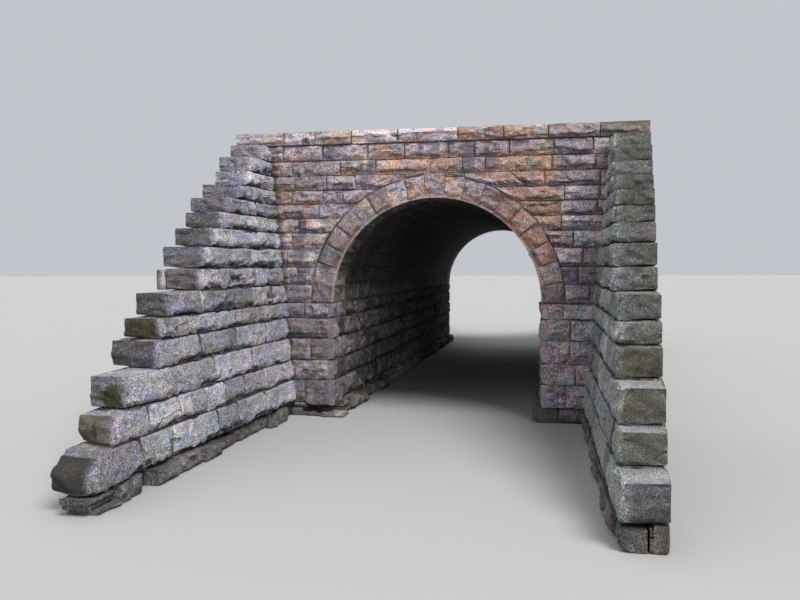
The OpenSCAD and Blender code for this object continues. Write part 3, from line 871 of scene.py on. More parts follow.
            # along the joint with the ring, where the wall has opened
            gap_ = np.abs(np.hypot(S, z - Z_SPRING) - R_OUT)
            moss = moss + 0.42 * np.exp(-(gap_ / 0.035) ** 2) * smooth(1.2, 1.5, S) * smooth(3.4, 3.8, z)
        else:
            k = noise(S * 0.5, z * 0.5, S * 0 + 3, 77)
            warm = 0.42 * k - 0.05
            lime = 0.20 * smooth(0.1, 0.8, noise(S * 0.8, z * 0.6, S * 0, 78))
            film = 0.45 * smooth(0.2, 0.8, noise(S * 1.6, z * 0.3, S * 0, 79)) + 0.15 * smooth(2.0, 1.0, z)
            damp = 0.20 * smooth(1.2, 0.35, z) + 0.15 * smooth(2.8, 3.4, np.abs(S))
            olive = 0.35 * smooth(2.9, 3.5, np.abs(S))
            moss = zero
        soil = (0.42 * smooth(0.3, -0.3, S) + 0.10) * smooth(2.7, 1.8, z) \
            + 0.16 * smooth(1.4, 1.9, S) * smooth(2.9, 2.4, S) * smooth(5.1, 4.6, z)
        if end == "front":
            # darker in the corner with the left wing: painted shade
            soil = soil - 0.10 * smooth(0.5, 1.5, S) * smooth(2.7, 1.8, z) + 0.60 * smooth(0.15, 0.03, S - side_) * smooth(1.0, 2.5, z)
        # the reveals grow dark inwards with painted shade, some of their stones less
        inward = 1.0 - 0.65 * ((z > UNDER[10]) | ((z > UNDER[12]) & (z < TOP[12]))) - 0.85 * (z < TOP[14]) if end == "front" else 1.0
        soil = soil + 0.30 * smooth(0.16, 0.50, in_) * inward
        warm = np.where(in_ > 0.01, np.minimum(warm, 0.0) - 0.30, warm)
        return {"warm": warm, "lime": lime, "film": film, "damp": damp + 0.42 * smooth(0.12, 0.60, in_) * inward,
                "olive": olive + 0.25 * smooth(0.1, 0.4, in_) - 0.30 * smooth(0.3, -0.3, S) * smooth(2.7, 2.4, z), "moss": moss, "soil": soil}
    return f


HEAD_JOINTS = {  # where the upright joints fall on the face, course by course from the top
    0: [-3.40, -2.50, -1.475, -0.66, 0.30, 0.87, 1.60, 2.54, 3.35],
    1: [-3.20, -2.10, -1.30, -0.10, 0.60, 1.10, 2.50, 3.40],
    2: [-3.15, -2.42, -1.75, -0.65, 0.65, (1.62, 1.97), 2.35, 3.50],
    3: [-3.22, -2.51, -2.05, 2.76, 3.5],
    4: [-2.60, 2.67, 3.45],
    5: [-3.05, 2.70],
    6: [-3.22, 2.95],
    7: [-3.35, 3.15],
    8: [-3.10, 3.05],
    9: [-3.40, 3.30],
    10: [-2.95, 2.75],
    11: [-3.40, 2.90],
    12: [-3.27, -2.80, 2.89],
    13: [-3.25, 3.00],
    14: [-2.95, 2.80],
}

# per stone of the front face: (course, number from the left): tone, hue. The stones at the right end and of the right
# pier are set paler: painted light against the right wing's shadow
FRONT_STONES = {
    (0, 0): (0.45, 0.6), (0, 1): (0.58, 0.2), (0, 2): (0.52, 0.3), (0, 3): (0.85, 0.8), (0, 4): (0.98, 0.4),
    (0, 5): (0.58, 0.3), (0, 6): (0.52, 0.6), (0, 7): (0.40, 0.8), (0, 8): (0.30, 0.3), (0, 9): (1.2, 0.2),
    (1, 0): (0.50, 0.5), (1, 1): (0.58, 0.1), (1, 2): (0.55, 0.5), (1, 3): (1.0, 0.9), (1, 4): (0.78, 0.8),
    (1, 5): (0.50, 0.2), (1, 6): (0.66, 0.9), (1, 7): (0.42, 0.3), (1, 8): (0.50, 0.2),
    (2, 0): (0.45, 0.6), (2, 1): (0.50, 0.3), (2, 2): (0.48, 0.3), (2, 3): (0.60, 0.7), (2, 4): (0.75, 0.5),
    (2, 5): (0.42, 0.7), (2, 6): (0.52, 0.7), (2, 7): (0.54, 0.4), (2, 8): (0.90, 0.3),
    (3, 0): (0.42, 0.7), (3, 1): (0.58, 0.6), (3, 2): (0.50, 0.3), (3, 3): (0.52, 0.4), (3, 4): (0.58, 0.4),
    (3, 5): (0.85, 0.4), (4, 0): (0.45, 0.5), (4, 1): (0.62, 0.5), (4, 2): (0.68, 0.4), (4, 3): (0.50, 0.3),
    (5, 0): (0.50, 0.5), (5, 1): (0.60, 0.6), (5, 2): (1.35, 0.6), (5, 3): (0.60, 0.2),
    (6, 0): (0.42, 0.2), (6, 1): (0.62, 0.6), (6, 2): (1.50, 0.5), (6, 3): (0.60, 0.2),
    (7, 0): (0.42, 0.3), (7, 1): (0.50, 0.2), (7, 2): (0.85, 0.5), (8, 0): (0.42, 0.4), (8, 1): (0.44, 0.4),
    (8, 2): (0.50, 0.5), (9, 0): (0.40, 0.3), (9, 1): (0.42, 0.3), (9, 2): (0.80, 0.4),
    (10, 1): (0.40, 0.2), (11, 1): (0.26, 0.3), (12, 2): (0.42, 0.2), (13, 1): (1.45, 0.1), (14, 1): (0.42, 0.1),
    (10, 2): (1.15, 0.4), (11, 2): (1.15, 0.4), (12, 3): (1.15, 0.4), (13, 2): (1.10, 0.4), (14, 2): (1.05, 0.4),
}
# the right-hand part of stones that the ring parts in two; those of the right pier are set paler, painted light against
# the right wing's shadow
FRONT_RIGHT = {(3, 3): (0.38, 0.8), (4, 1): (0.32, 0.7), (5, 1): (0.62, 0.8), (6, 1): (0.72, 0.6), (7, 1): (1.50, 0.5),
               (8, 1): (0.34, 0.4), (9, 1): (0.85, 0.3), (10, 1): (1.30, 0.5), (11, 1): (1.0, 0.5), (12, 2): (1.30, 0.5),
               (13, 1): (1.15, 0.5), (14, 1): (1.10, 0.5)}

FRONT_LEDGES = [  # s from, s to, height of the brow, depth, fresh
    (-2.09, -1.72, 5.50, 0.030, 0.45), (-2.30, -1.80, 5.185, 0.042, 0.30), (-2.78, -2.46, 5.165, 0.028, 0.35),
    (-1.38, -0.72, 5.80, 0.034, 0.50), (-3.02, -2.55, 4.79, 0.028, 0.35), (-3.48, -2.98, 4.57, 0.030, 0.10),
    (0.26, 0.60, 5.515, 0.034, 0.45), (1.80, 2.10, 5.80, 0.022, 0.30), (1.02, 1.62, 5.11, 0.030, 0.20),
    (1.90, 2.34, 5.14, 0.034, 0.20), (2.40, 3.40, 5.13, 0.040, 0.0), (1.95, 2.72, 4.80, 0.030, 0.40),
    (1.95, 2.66, 4.67, 0.028, 0.25), (2.45, 3.40, 4.17, 0.030, 0.0), (-0.60, 0.24, 5.76, 0.020, 0.30),
    (2.75, 3.35, 4.50, 0.030, 0.0), (2.85, 3.30, 2.66, 0.026, 0.0), (-2.95, -2.45, 3.44, 0.020, 0.1), (-3.15, -2.75, 3.03, 0.022, 0.1),
    (2.60, 3.35, 5.80, 0.028, 0.0), (2.55, 3.20, 5.46, 0.026, 0.0), (0.95, 1.55, 5.77, 0.020, 0.2),
    (-3.38, -2.36, 1.87, 0.034, 0.15), (-3.20, -2.45, 4.20, 0.022, 0.25), (-2.90, -2.40, 2.285, 0.040, 0.0),
    (2.45, 3.35, 3.83, 0.030, 0.0), (2.60, 3.30, 3.43, 0.028, 0.0), (-1.25, -0.15, 5.46, 0.020, 0.20),
    (-3.05, -2.50, 1.04, 0.026, 0.0), (1.72, 2.40, 5.50, 0.018, 0.15),
]
FRONT_LEDGES = [(a, b, z, d, 0.45 * f) for a, b, z, d, f in FRONT_LEDGES]


STRIP = 0.125           # tooled strip up the corners of the piers
REVEAL = {10: (0.05, 0.0, 0.55), 11: (1.0, 0.10, -0.15), 12: (0.66, -0.1, 1.35), 13: (1.60, 0.02, -0.2), 14: (1.60, 0.10, 1.60)}


def head_wall(end):
    L, Rr = ("left", "right") if end == "front" else ("right", "left")
    front = end == "front"
    mp, mi = end_map(end), inner_map(end)
    wx = head_weather(end)
    carve = ledges_fn(FRONT_LEDGES, 61) if front else None
    cell = 0.029 if front else 0.075
    lod = 0 if front else 1
    k0 = 100 if front else 5100

    def mk(node):
        return wall(f"{end}_{node}_stones", f"{end}_{node}", "wall_stone", mp, wx, [M_WALL, M_MORTAR], carve)
    spL, spR, crown = mk(f"{L}_spandrel"), mk(f"{Rr}_spandrel"), mk("crown_wall")
    piL, piR = mk(f"{L}_pier"), mk(f"{Rr}_pier")
    depth = 0.42
    MF = -0.062                      # the mortar's face
    for i in range(15):
        t0, t1 = UNDER[i], TOP[i]
        xs = [(-HALF_W, -HALF_W)] + [x if isinstance(x, tuple) else (x, x) for x in HEAD_JOINTS[i]] + [(HALF_W, HALF_W)]
        for n, (ja, jb) in enumerate(zip(xs[:-1], xs[1:])):
            a, b = (ja[0] + ja[1]) / 2, (jb[0] + jb[1]) / 2
            seed = k0 + i * 20 + n
            arch_lo, arch_hi = float(ring_out(t0)), float(ring_out(t1))
            kw = dict(cell=cell, amp=0.036, lod=lod, round_=0.011, gap=0.005, gap_s=0.003, chips=0.03, joint_dirt_and_shade=0.45)
            if front and (i, n) in FRONT_STONES:
                kw["tone"], kw["hue"] = FRONT_STONES[i, n]
            if a > 1.8:
                kw["amp"], kw["round_"] = 0.048, 0.016
            if front and i == 0 and n in (2, 3):
                kw["gap_s"] = 0.011
            if ja[0] != ja[1]:
                kw["sL"] = lambda t, j=ja: j[0] + (j[1] - j[0]) * (t1 - t) / (t1 - t0)
            if jb[0] != jb[1]:
                kw["sR"] = lambda t, j=jb: j[0] + (j[1] - j[0]) * (t1 - t) / (t1 - t0)
            show = ("l" if a == -HALF_W else "") + ("r" if b == HALF_W else "")
            if i >= 10:
                # piers: stones by the opening go right through the wall
                if a < 0 < b:
                    for sgn, lo, hi, w_ in ((-1, a, -R_IN, piL), (1, R_IN, b, piR)):
                        kk = dict(kw)
                        kk["amp"] = 0.030
                        if front and sgn > 0 and (i, n) in FRONT_RIGHT:
                            kk["tone"], kk["hue"] = FRONT_RIGHT[i, n]
                            # paler still: painted light against the right wing's shadow on this pier
                            kk["tone"] += 0.12
                        hang = None
                        if i == 14 and sgn < 0 and front:
                            hang = 0.07            # it reaches a little lower than its neighbours
                            kk["tB"] = lambda s, t0=t0: t0 - 0.07 * smooth(-3.1, -2.75, s)
                        if sgn < 0:
                            w_.stone(lo, hi - STRIP + 0.002, t0, t1, depth, seed, **kk)
                        else:
                            w_.stone(lo + STRIP - 0.002, hi, t0, t1, depth, seed + 7, **kk)
                        # the reveal: its stones' tooled edge shows as a strip up the corner
                        sx = sgn if front else -sgn
                        my = -1.0 if front else 1.0
                        mr = lambda s, t, n, sx=sx, my=my: np.stack([sx * (R_IN - n), my * (HALF_L - s), t + 0 * s], axis=-1)
                        rr = np.random.default_rng(seed + 55)
                        cut_at = rr.uniform(0.32, 0.58)
                        near = front and sgn < 0
                        rk = dict(cell=0.034 if near else 0.09, deep=0.05, style="pillow", mapf=mr, lod=0 if near else 1,
                                  lump=0.8, ragged=0.03, gap=0.006, gap_s=0.006, chips=0.04, joint_dirt_and_shade=0.8)
                        if hang:
                            rk["tB"] = lambda s, t0=t0: t0 - 0.07 * smooth(1.2, 0.6, s)
                        w_.stone(0.0, cut_at, t0, t1, STRIP, seed + 300, show="l", side_amp=0.005, amp=0.030, round_=0.010,
                                 draft=(0.028, 0, 0, 0), margin=lambda S, T, N, m=0.55 if near or not front else 0.50: m * smooth(0.030, 0.016, S),
                                 tone=REVEAL[i][0] if near else kk.get("tone"), film=REVEAL[i][1] if near else 0.0, hue=kk.get("hue"),
                                 warm=0.45 if front and sgn > 0 else 0.0, **rk)
                        w_.stone(cut_at, WALL_T, t0, t1, STRIP, seed + 301, amp=0.036, damp=0.12,
                                 tone=REVEAL[i][2] if near else None, **rk)
                    continue
                w_ = piL if b <= 0 else piR
                w_.stone(a, b, t0, t1, depth, seed, show=show, **kw)
                continue
            if i == 2 and a == -CROWN_HALF:
                # low pieces over the ring, left and right of the keystone
                for lo, hi in ((-CROWN_HALF, -KEY_HALF - 0.006), (KEY_HALF + 0.006, CROWN_HALF)):
                    cap = FLAT_TOP if front and lo > 0 else 9.0
                    crown.stone(lo, hi, t0, t1, depth, seed + (0 if lo < 0 else 9),
                                tB=lambda s, cap=cap: np.minimum(np.minimum(ring_top(s), cap) + 0.004, t1 - 0.012), **{**kw, "amp": 0.024})
                    crown.stone(lo, hi, t0, t1, 0.42, seed + 50 + (0 if lo < 0 else 9), cell=0.20, mapf=mi, amp=0.0,
                                style="rubble", lod=2, set_back=0.004, tB=lambda s: np.minimum(ring_top(s) + 0.010, t1 - 0.012))
                    crown.block(lo, hi, t0, t1, MF, -(WALL_T - 0.05), cell=0.1,
                                tB=lambda s, cap=cap: np.minimum(np.minimum(ring_top(s), cap) + 0.015, t1 - 0.01))
                continue
            if i >= 2:
                halves = []
                if a < 0:
                    halves.append((-1, a, min(b, 0.0)))
                if b > 0:
                    halves.append((1, max(a, 0.0), b))
                for sgn, lo, hi in halves:
                    w_ = spL if sgn < 0 else spR
                    kk = {x: y for x, y in kw.items() if x not in ("sL", "sR")}
                    if front and sgn > 0 and (i, n) in FRONT_RIGHT and lo < arch_lo:
                        kk["tone"], kk["hue"] = FRONT_RIGHT[i, n]
                    if not (hi > -arch_lo if sgn < 0 else lo < arch_lo):
                        w_.stone(lo, hi, t0, t1, depth, seed, show=show, **kw)
                        continue
                    crack = 0.002
                    if front and sgn < 0 and 5 <= i <= 9:
                        crack = (0.016, 0.034, 0.024, 0.010, 0.004)[i - 5]
                    if front and sgn > 0 and 3 <= i <= 8:
                        crack = (0.004, 0.008, 0.012, 0.016, 0.012, 0.006)[i - 3]
                    if sgn < 0:
                        if lo >= -arch_lo + 0.05:      # wholly over the ring: cut from below
                            hi2 = -arch_hi - 0.02 if hi == 0.0 else hi
                            if hi2 - lo > 0.08:
                                w_.stone(lo, hi2, t0, t1, depth, seed,
                                         tB=lambda s: np.minimum(ring_top(s) + crack, t1 - 0.02), **{**kk, "amp": 0.022})
                        else:
                            f = lambda t, c=crack: -ring_out(t) - c
                            if hi > -arch_lo and hi < -arch_hi:   # cut on the skew up to its own joint
                                g = lambda t, c=crack, h=hi: np.minimum(-ring_out(t) - c, h)
                                w_.stone(lo, hi, t0, t1, depth, seed, sR=g, show=show, **kk)
                            else:
                                w_.stone(lo, -arch_lo * 0.5 - arch_hi * 0.5, t0, t1, depth, seed, sR=f, show=show, **kk)
                    else:
                        if hi <= arch_lo - 0.05:
                            lo2 = arch_hi + 0.02 if lo == 0.0 else lo
                            if "sR" in kw:
                                kk["sR"] = kw["sR"]
                            if "sL" in kw:
                                kk["sL"] = kw["sL"]
                            if hi - lo2 > 0.08:
                                w_.stone(lo2, hi, t0, t1, depth, seed,
                                         tB=lambda s: np.minimum(ring_top(s) + crack, t1 - 0.02), **{**kk, "amp": 0.026})
                        else:
                            f = lambda t, c=crack: ring_out(t) + c
                            if "sR" in kw:
                                kk["sR"] = kw["sR"]
                            if lo < arch_lo and lo > arch_hi:
                                g = lambda t, c=crack, j=ja: np.maximum(ring_out(t) + c, j[0] + (j[1] - j[0]) * (t1 - t) / (t1 - t0))
                                w_.stone(lo, hi, t0, t1, depth, seed, sL=g, show=show, **kk)
                            else:
                                w_.stone(arch_lo * 0.5 + arch_hi * 0.5, hi, t0, t1, depth, seed, sL=f, show=show, **kk)
                continue
            # the two courses over the crown
            kk = dict(kw)
            if i == 1:
                kk["tB"] = lambda s, t0=t0: np.where(np.abs(s) < 0.75, np.maximum(ring_top(s) + 0.007, t0), t0)
            crown.stone(a, b, t0, t1, depth, seed, show=show, **kk)
        # stones of the wall's inner face, and the hearting between
        rng = np.random.default_rng(k0 + 900 + i)
        xs = [-HALF_W]
        while xs[-1] < HALF_W - 1.3:
            xs.append(xs[-1] + rng.uniform(0.7, 1.2))
        xs.append(HALF_W)
        rear = dict(cell=0.20, mapf=mi, amp=0.0, style="rubble", lod=2, set_back=0.004)
        core_n0, core_n1 = MF, -(WALL_T - 0.05)
        e = 0.03
        if i >= 10:
            for w_, lo, hi in ((piL, -HALF_W, -R_IN), (piR, R_IN, HALF_W)):
                if lo < 0:
                    pts = [lo] + [x for x in xs if lo + 0.4 < x < hi - 1.15] + [hi - 0.75]
                else:
                    pts = [lo + 0.75] + [x for x in xs if lo + 1.15 < x < hi - 0.4] + [hi]
                for n, (a, b) in enumerate(zip(pts[:-1], pts[1:])):
                    w_.stone(a, b, t0, t1, 0.42, k0 + 2000 + i * 20 + n,
                             show=("l" if a == -HALF_W else "") + ("r" if b == HALF_W else ""), **rear)
                if hi < 0:
                    w_.block(lo + e, pts[-1] - 0.02, t0, t1, core_n0, core_n1)
                    w_.block(pts[-1] - 0.05, hi - 0.03, t0, t1, core_n0, core_n1)
                else:
                    w_.block(pts[0] + 0.02, hi - e, t0, t1, core_n0, core_n1)
                    w_.block(lo + 0.03, pts[0] + 0.05, t0, t1, core_n0, core_n1)
        elif i >= 2:
            for sgn, w_ in ((-1, spL), (1, spR)):
                arch_lo = float(ring_out(t0))
                if sgn < 0:
                    pts = [-HALF_W] + [x for x in xs if -HALF_W < x < -arch_lo - 0.5]
                    for n, (a, b) in enumerate(zip(pts[:-1], pts[1:])):
                        w_.stone(a, b, t0, t1, 0.42, k0 + 2000 + i * 20 + n, show="l" if n == 0 else "", **rear)
                    w_.stone(pts[-1], -arch_lo, t0, t1, 0.42, k0 + 2010 + i * 20,
                             sR=lambda t: np.minimum(-ring_out(t) - 0.012, -CROWN_HALF if i == 2 else 0.0),
                             show="l" if len(pts) == 1 else "", **rear)
                    w_.block(-HALF_W + e, -arch_lo, t0, t1, core_n0, core_n1,
                             sR=lambda t: np.minimum(-ring_out(t) - 0.035, -CROWN_HALF - 0.01 if i == 2 else 0.0))
                else:
                    pts = [x for x in xs if arch_lo + 0.5 < x < HALF_W - 0.3] + [HALF_W]
                    for n, (a, b) in enumerate(zip(pts[:-1], pts[1:])):
                        w_.stone(a, b, t0, t1, 0.42, k0 + 2100 + i * 20 + n, show="r" if b == HALF_W else "", **rear)
                    w_.stone(arch_lo, pts[0], t0, t1, 0.42, k0 + 2110 + i * 20,
                             sL=lambda t: np.maximum(ring_out(t) + 0.012, CROWN_HALF if i == 2 else 0.0),
                             show="r" if len(pts) == 1 else "", **rear)
                    w_.block(arch_lo, HALF_W - e, t0, t1, core_n0, core_n1,
                             sL=lambda t: np.maximum(ring_out(t) + 0.035, CROWN_HALF + 0.01 if i == 2 else 0.0))
        else:
            for n, (a, b) in enumerate(zip(xs[:-1], xs[1:])):
                kk = dict(rear)
                if i == 1:
                    kk["tB"] = lambda s, t0=t0: np.where(np.abs(s) < 0.75, np.maximum(ring_top(s) + 0.010, t0), t0)
                crown.stone(a, b, t0, t1, 0.42, k0 + 2000 + i * 20 + n,
                            show=("l" if a == -HALF_W else "") + ("r" if b == HALF_W else ""), **kk)
            if i == 1:
                crown.block(-HALF_W + e, HALF_W - e, t0, t1, core_n0, core_n1, cell=0.25,
                            tB=lambda s: np.where(np.abs(s) < 0.9, np.maximum(ring_top(s) + 0.012, UNDER[1]), UNDER[1]))
            else:
                crown.block(-HALF_W + e, HALF_W - e, t0, t1, core_n0, core_n1)


# ------------------------------------------------------------------ ring
RING_STONES = {  # number from the left springing: tone, hue, warm, film
    0: (-0.15, 0.3, 0.0, 0.22), 1: (0.64, 0.3, 0.0, 0.08), 2: (-0.15, 0.3, 0.0, 0.24), 3: (0.08, 0.4, 0.0, 0.1),
    4: (0.16, 0.5, 0.12, 0.0), 5: (0.88, 0.1, -0.60, 0.16), 6: (0.08, 0.3, 0.02, 0.10), 7: (1.55, 0.5, 0.06, -0.2),
    8: (0.60, 0.5, 0.16, -0.15), 9: (0.48, 0.4, 0.0, 0.05), 10: (0.90, 0.6, 0.32, -0.3), 11: (0.38, 0.6, 0.30, 0.05),
    12: (0.16, 0.7, 0.18, 0.0), 13: (0.12, 0.7, 0.50, -0.1), 14: (0.20, 0.8, 0.60, -0.1), 15: (0.30, 0.8, 0.62, -0.1),
    16: (0.48, 0.7, 0.52, -0.1), 17: (0.70, 0.6, 0.24, 0.0), 18: (-0.10, 0.6, 0.06, 0.15),
}


def ring(end):
    L, Rr = ("left", "right") if end == "front" else ("right", "left")
    front = end == "front"
    if front:
        mp = lambda s, t, n: np.stack([-t * np.cos(s), -HALF_L - n, Z_SPRING + t * np.sin(s)], axis=-1)
    else:
        mp = lambda s, t, n: np.stack([t * np.cos(s), HALF_L + n, Z_SPRING + t * np.sin(s)], axis=-1)

    def outer(i):
        # distance from the springing centre to the outer side of ring stone i, at angle s
        if i == 9:
            return lambda s: (Z_CROWN - Z_SPRING) / np.sin(s)
        if i == 10 and front:
            return lambda s: np.minimum(R_OUT, (FLAT_TOP - Z_SPRING) / np.sin(s))
        return lambda s: R_OUT + 0 * s

    def wx(S, T, N, pos):
        x = -T * np.cos(S)
        z = Z_SPRING + T * np.sin(S)
        under = smooth(R_IN + 0.06, R_IN + 0.02, T) * smooth(0.008, 0.03, -N)
        if front:
            warm = 0.25 * bump_at(x, z, -0.85, 4.75, 0.22, 0.2)
            film = 0.75 * np.exp(-((x - 0.93) / 0.045) ** 4) * smooth(4.4, 4.6, z)
            lime = 0.10 * bump_at(x, z, 0.0, 5.1, 0.9, 0.3)
            moss = 0.25 * smooth(0.06, 0.0, R_OUT - np.hypot(x, z - Z_SPRING)) * smooth(1.2, 1.6, x) * smooth(3.3, 3.8, z)
        else:
            warm = 0.3 * noise(x * 0.6, z * 0.6, x * 0, 55) + 0.1
            lime, film, moss = 0 * x, 0 * x, 0 * x
        return {"warm": warm, "lime": lime, "film": film, "moss": moss,
                "olive": 0.40 * under * smooth(3.9, 3.2, z),
                # darker under the arch and high up it: painted shade, with some damp
                "damp": (0.06 + 0.26 * smooth(0.02, 0.14, -N) + 0.50 * smooth(3.0, 3.8, z)) * under}

    def margin(S, T, N):
        return smooth(R_IN + 0.046, R_IN + 0.034, T) * smooth(-0.045, -0.02, N) * 0.8

    parts = {}
    for key, node in ((L, f"{L}_voussoirs"), ("key", "keystone"), (Rr, f"{Rr}_voussoirs")):
        parts[key] = wall(f"{end}_{node}_cut_stones", f"{end}_{node}", "ring_stone", mp, wx, [M_RING, M_MORTAR])
    pitch = math.pi / 19
    for i in range(19):
        w_ = parts[L] if i < 9 else parts["key"] if i == 9 else parts[Rr]
        a0, a1 = i * pitch, (i + 1) * pitch
        ro = R_OUT
        rng = np.random.default_rng(300 + i + (0 if front else 50))
        tone, hue, warm, film = RING_STONES[i] if front else (None, None, 0.0, 0.0)
        w_.stone(a0, a1, R_IN, ro, WALL_T - 0.01, (3000 if front else 3100) + i, cell=0.028 if front else 0.06,
                 deep=0.10 if front else 0.2, lod=0 if front else 1, amp=0.026 + 0.008 * rng.random(), style="quarry",
                 draft=(0.0, 0.0, 0.040, 0.0), tT=outer(i), show="b", scale=2.55, round_=0.007, gap=0.003,
                 side_amp=0.020 if front else 0.022, rock="b", calm=0.05 if front else 0.04, margin=margin, tone=tone, hue=hue, warm=warm, film=film, spall=0.8, joint_dirt_and_shade=0.15, chips=0.02)
        w_.block(a0 + 0.001, a1 - 0.001, R_IN + 0.024, ro - (0.06 if i == 10 else 0.02), -0.026, -(WALL_T - 0.03), cell=1.0)


# ------------------------------------------------------------------ coping
COPING_AT = [0, 0.125, 0.205, 0.297, 0.411, 0.557, 0.666, 0.770, 0.888, 1]
COPING_STONES = {0: (0.30, 0.5, 0.05), 1: (0.56, 0.5, 0.05), 2: (0.36, 0.5, 0.10), 3: (1.40, 0.4, 0.10), 4: (0.90, 0.5, 0.26),
                 5: (0.56, 0.7, 0.58), 6: (0.54, 0.9, 0.50), 7: (0.90, 0.4, 0.20), 8: (0.55, 0.3, 0.0)}


def coping(end):
    front = end == "front"
    if front:
        mp = lambda s, t, n: np.stack([s, -HALF_L - COPING_OUT - n, t], axis=-1)
    else:
        mp = lambda s, t, n: np.stack([-s, HALF_L + COPING_OUT + n, t], axis=-1)

    def carve(S, T):
        # the lower part has flaked back under a wavy line
        z = T - Z_TOP
        line = 0.115 + 0.060 * noise(S * 1.35, S * 0, S * 0, 401) + 0.025 * noise(S * 5.5, S * 0, S * 0, 402) \
            + 0.010 * noise(S * 15, S * 0, S * 0, 403)
        k = smooth(-0.75, 0.0, noise(S * 0.9, S * 0 + 5, S * 0, 404))
        m = smooth(line + 0.012, line - 0.012, z) * k
        brow = np.exp(-((z - line - 0.03) / 0.03) ** 2) * k
        # edge places the painted highlight, dark line and painted shade under the wavy line
        edge = (np.clip((line - z) / 0.05, -1.0, 2.0) + 1.0) * smooth(0.25, 0.45, k)
        return -(0.030 + 0.014 * noise(S * 5, z * 9, S * 0, 405)) * m + 0.006 * brow, 0.22 * m, edge

    def wx(S, T, N, pos):
        if front:
            damp = 0.25 * smooth(3.4, 3.9, S)
            olive = 0.30 * smooth(2.40, 2.48, S) + 0.25 * smooth(3.3, 3.9, S) + 0.1 * smooth(-3.6, -4.2, S)
        else:
            damp = 0 * S
            olive = 0.2 * noise(S * 0.5, S * 0, S * 0, 14)
        moss = 0.18 * smooth(Z_TOP + 0.27, Z_TOP + 0.30, T) * smooth(-0.05, -0.4, N)
        soil = 0.5 * smooth(2.40, 2.48, S) if front else 0.15 + 0 * S
        return {"lime": 0.06 + 0 * S, "damp": damp, "moss": moss, "olive": olive, "soil": soil}

    w_ = wall(f"{end}_coping_stones", f"{end}_coping", "coping_stone", mp, wx, [M_COPING, M_MORTAR], carve)
    for i in range(9):
        a, b = -HALF_W + 9 * COPING_AT[i], -HALF_W + 9 * COPING_AT[i + 1]
        tone, hue, warm = COPING_STONES[i] if front else (None, None, 0.1)
        w_.stone(a, b, Z_TOP, Z_TOP + COPING_H, WALL_T + COPING_OUT, (4000 if front else 4100) + i,
                 cell=0.029 if front else 0.075, deep=0.085 if front else 0.16, back=True, lod=0 if front else 1,
                 amp=0.022, style="quarry", show=("l" if i == 0 else "") + ("r" if i == 8 else "") + "btk",
                 side_amp=0.007, gap=0.010, round_=0.013, set_back=0.004, tone=tone, hue=hue, warm=warm, spall=0.35)
        w_.block(a + (0.03 if i == 0 else 0.0), b - (0.03 if i == 8 else 0.0), Z_TOP + 0.035, Z_TOP + COPING_H - 0.03, -0.045,
                 -(WALL_T + COPING_OUT - 0.05), cell=1.0)


# ------------------------------------------------------------------ wing walls
WING_JOINTS = {  # distance of the upright joints from the head wall
    0: [], 1: [], 2: [0.75], 3: [0.95], 4: [1.2], 5: [1.30], 6: [1.54], 7: [1.75],
    8: [0.80, 1.67, 3.34], 9: [0.75, 1.88, 4.12], 10: [1.6, 4.16, 4.72], 11: [1.36, 2.9, 4.40],
    12: [1.0, 2.2, 3.95, 5.57], 13: [0.6, 1.7, 2.75, 3.61, 4.42, 5.41, 6.40], 14: [1.75, 3.13, 4.03, 5.74, 6.70],
}

BACK_OUT = {3: 0.09, 4: 0.12, 5: 0.08, 6: 0.13, 7: 0.16, 10: 0.05, 11: 0.19, 12: 0.03, 14: 0.05}  # ends that stand out at the back

END_SOIL_AND_SHADE = [0.5, 0.5, 0.55, 0.62, 0.68, 0.92, 0.98, 0.76, 0.98, 0.82, 0.95, 0.95, 0.50, 0.42, 1.0]  # dirt and painted shade on the ends

WING_TONES = {(14, 5): 0.02, (14, 4): 0.28, (14, 3): 0.68, (13, 7): 0.45}     # course, stone from the head wall

WING_BITES = [  # s, t, half length, half height, depth
    (1.55, 4.12, 0.50, 0.07, 0.06), (1.35, 3.77, 0.55, 0.08, 0.07), (0.95, 3.38, 0.70, 0.08, 0.07), (2.6, 3.40, 0.35, 0.06, 0.05),
    (2.6, 3.08, 0.50, 0.11, 0.07), (3.55, 2.97, 0.25, 0.06, 0.05), (3.25, 2.60, 0.65, 0.10, 0.07), (0.85, 2.72, 0.30, 0.12, 0.05),
    (4.10, 2.24, 0.42, 0.07, 0.07), (2.6, 2.24, 0.55, 0.06, 0.05), (4.75, 1.79, 0.50, 0.06, 0.07), (2.9, 1.79, 0.6, 0.05, 0.05),
    (4.05, 1.31, 0.50, 0.06, 0.06), (2.0, 1.29, 0.6, 0.05, 0.05), (5.2, 0.84, 0.8, 0.05, 0.05), (3.4, 0.84, 0.6, 0.05, 0.05),
    (3.4, 0.36, 0.75, 0.08, 0.08), (1.8, 0.35, 0.6, 0.07, 0.06), (6.6, 0.36, 0.3, 0.08, 0.06), (0.9, 4.80, 0.3, 0.08, 0.05),
    (0.35, 5.45, 0.25, 0.10, 0.06), (0.5, 5.1, 0.3, 0.08, 0.05), (0.3, 4.47, 0.25, 0.07, 0.05), (5.75, 0.50, 0.28, 0.15, 0.03),
]


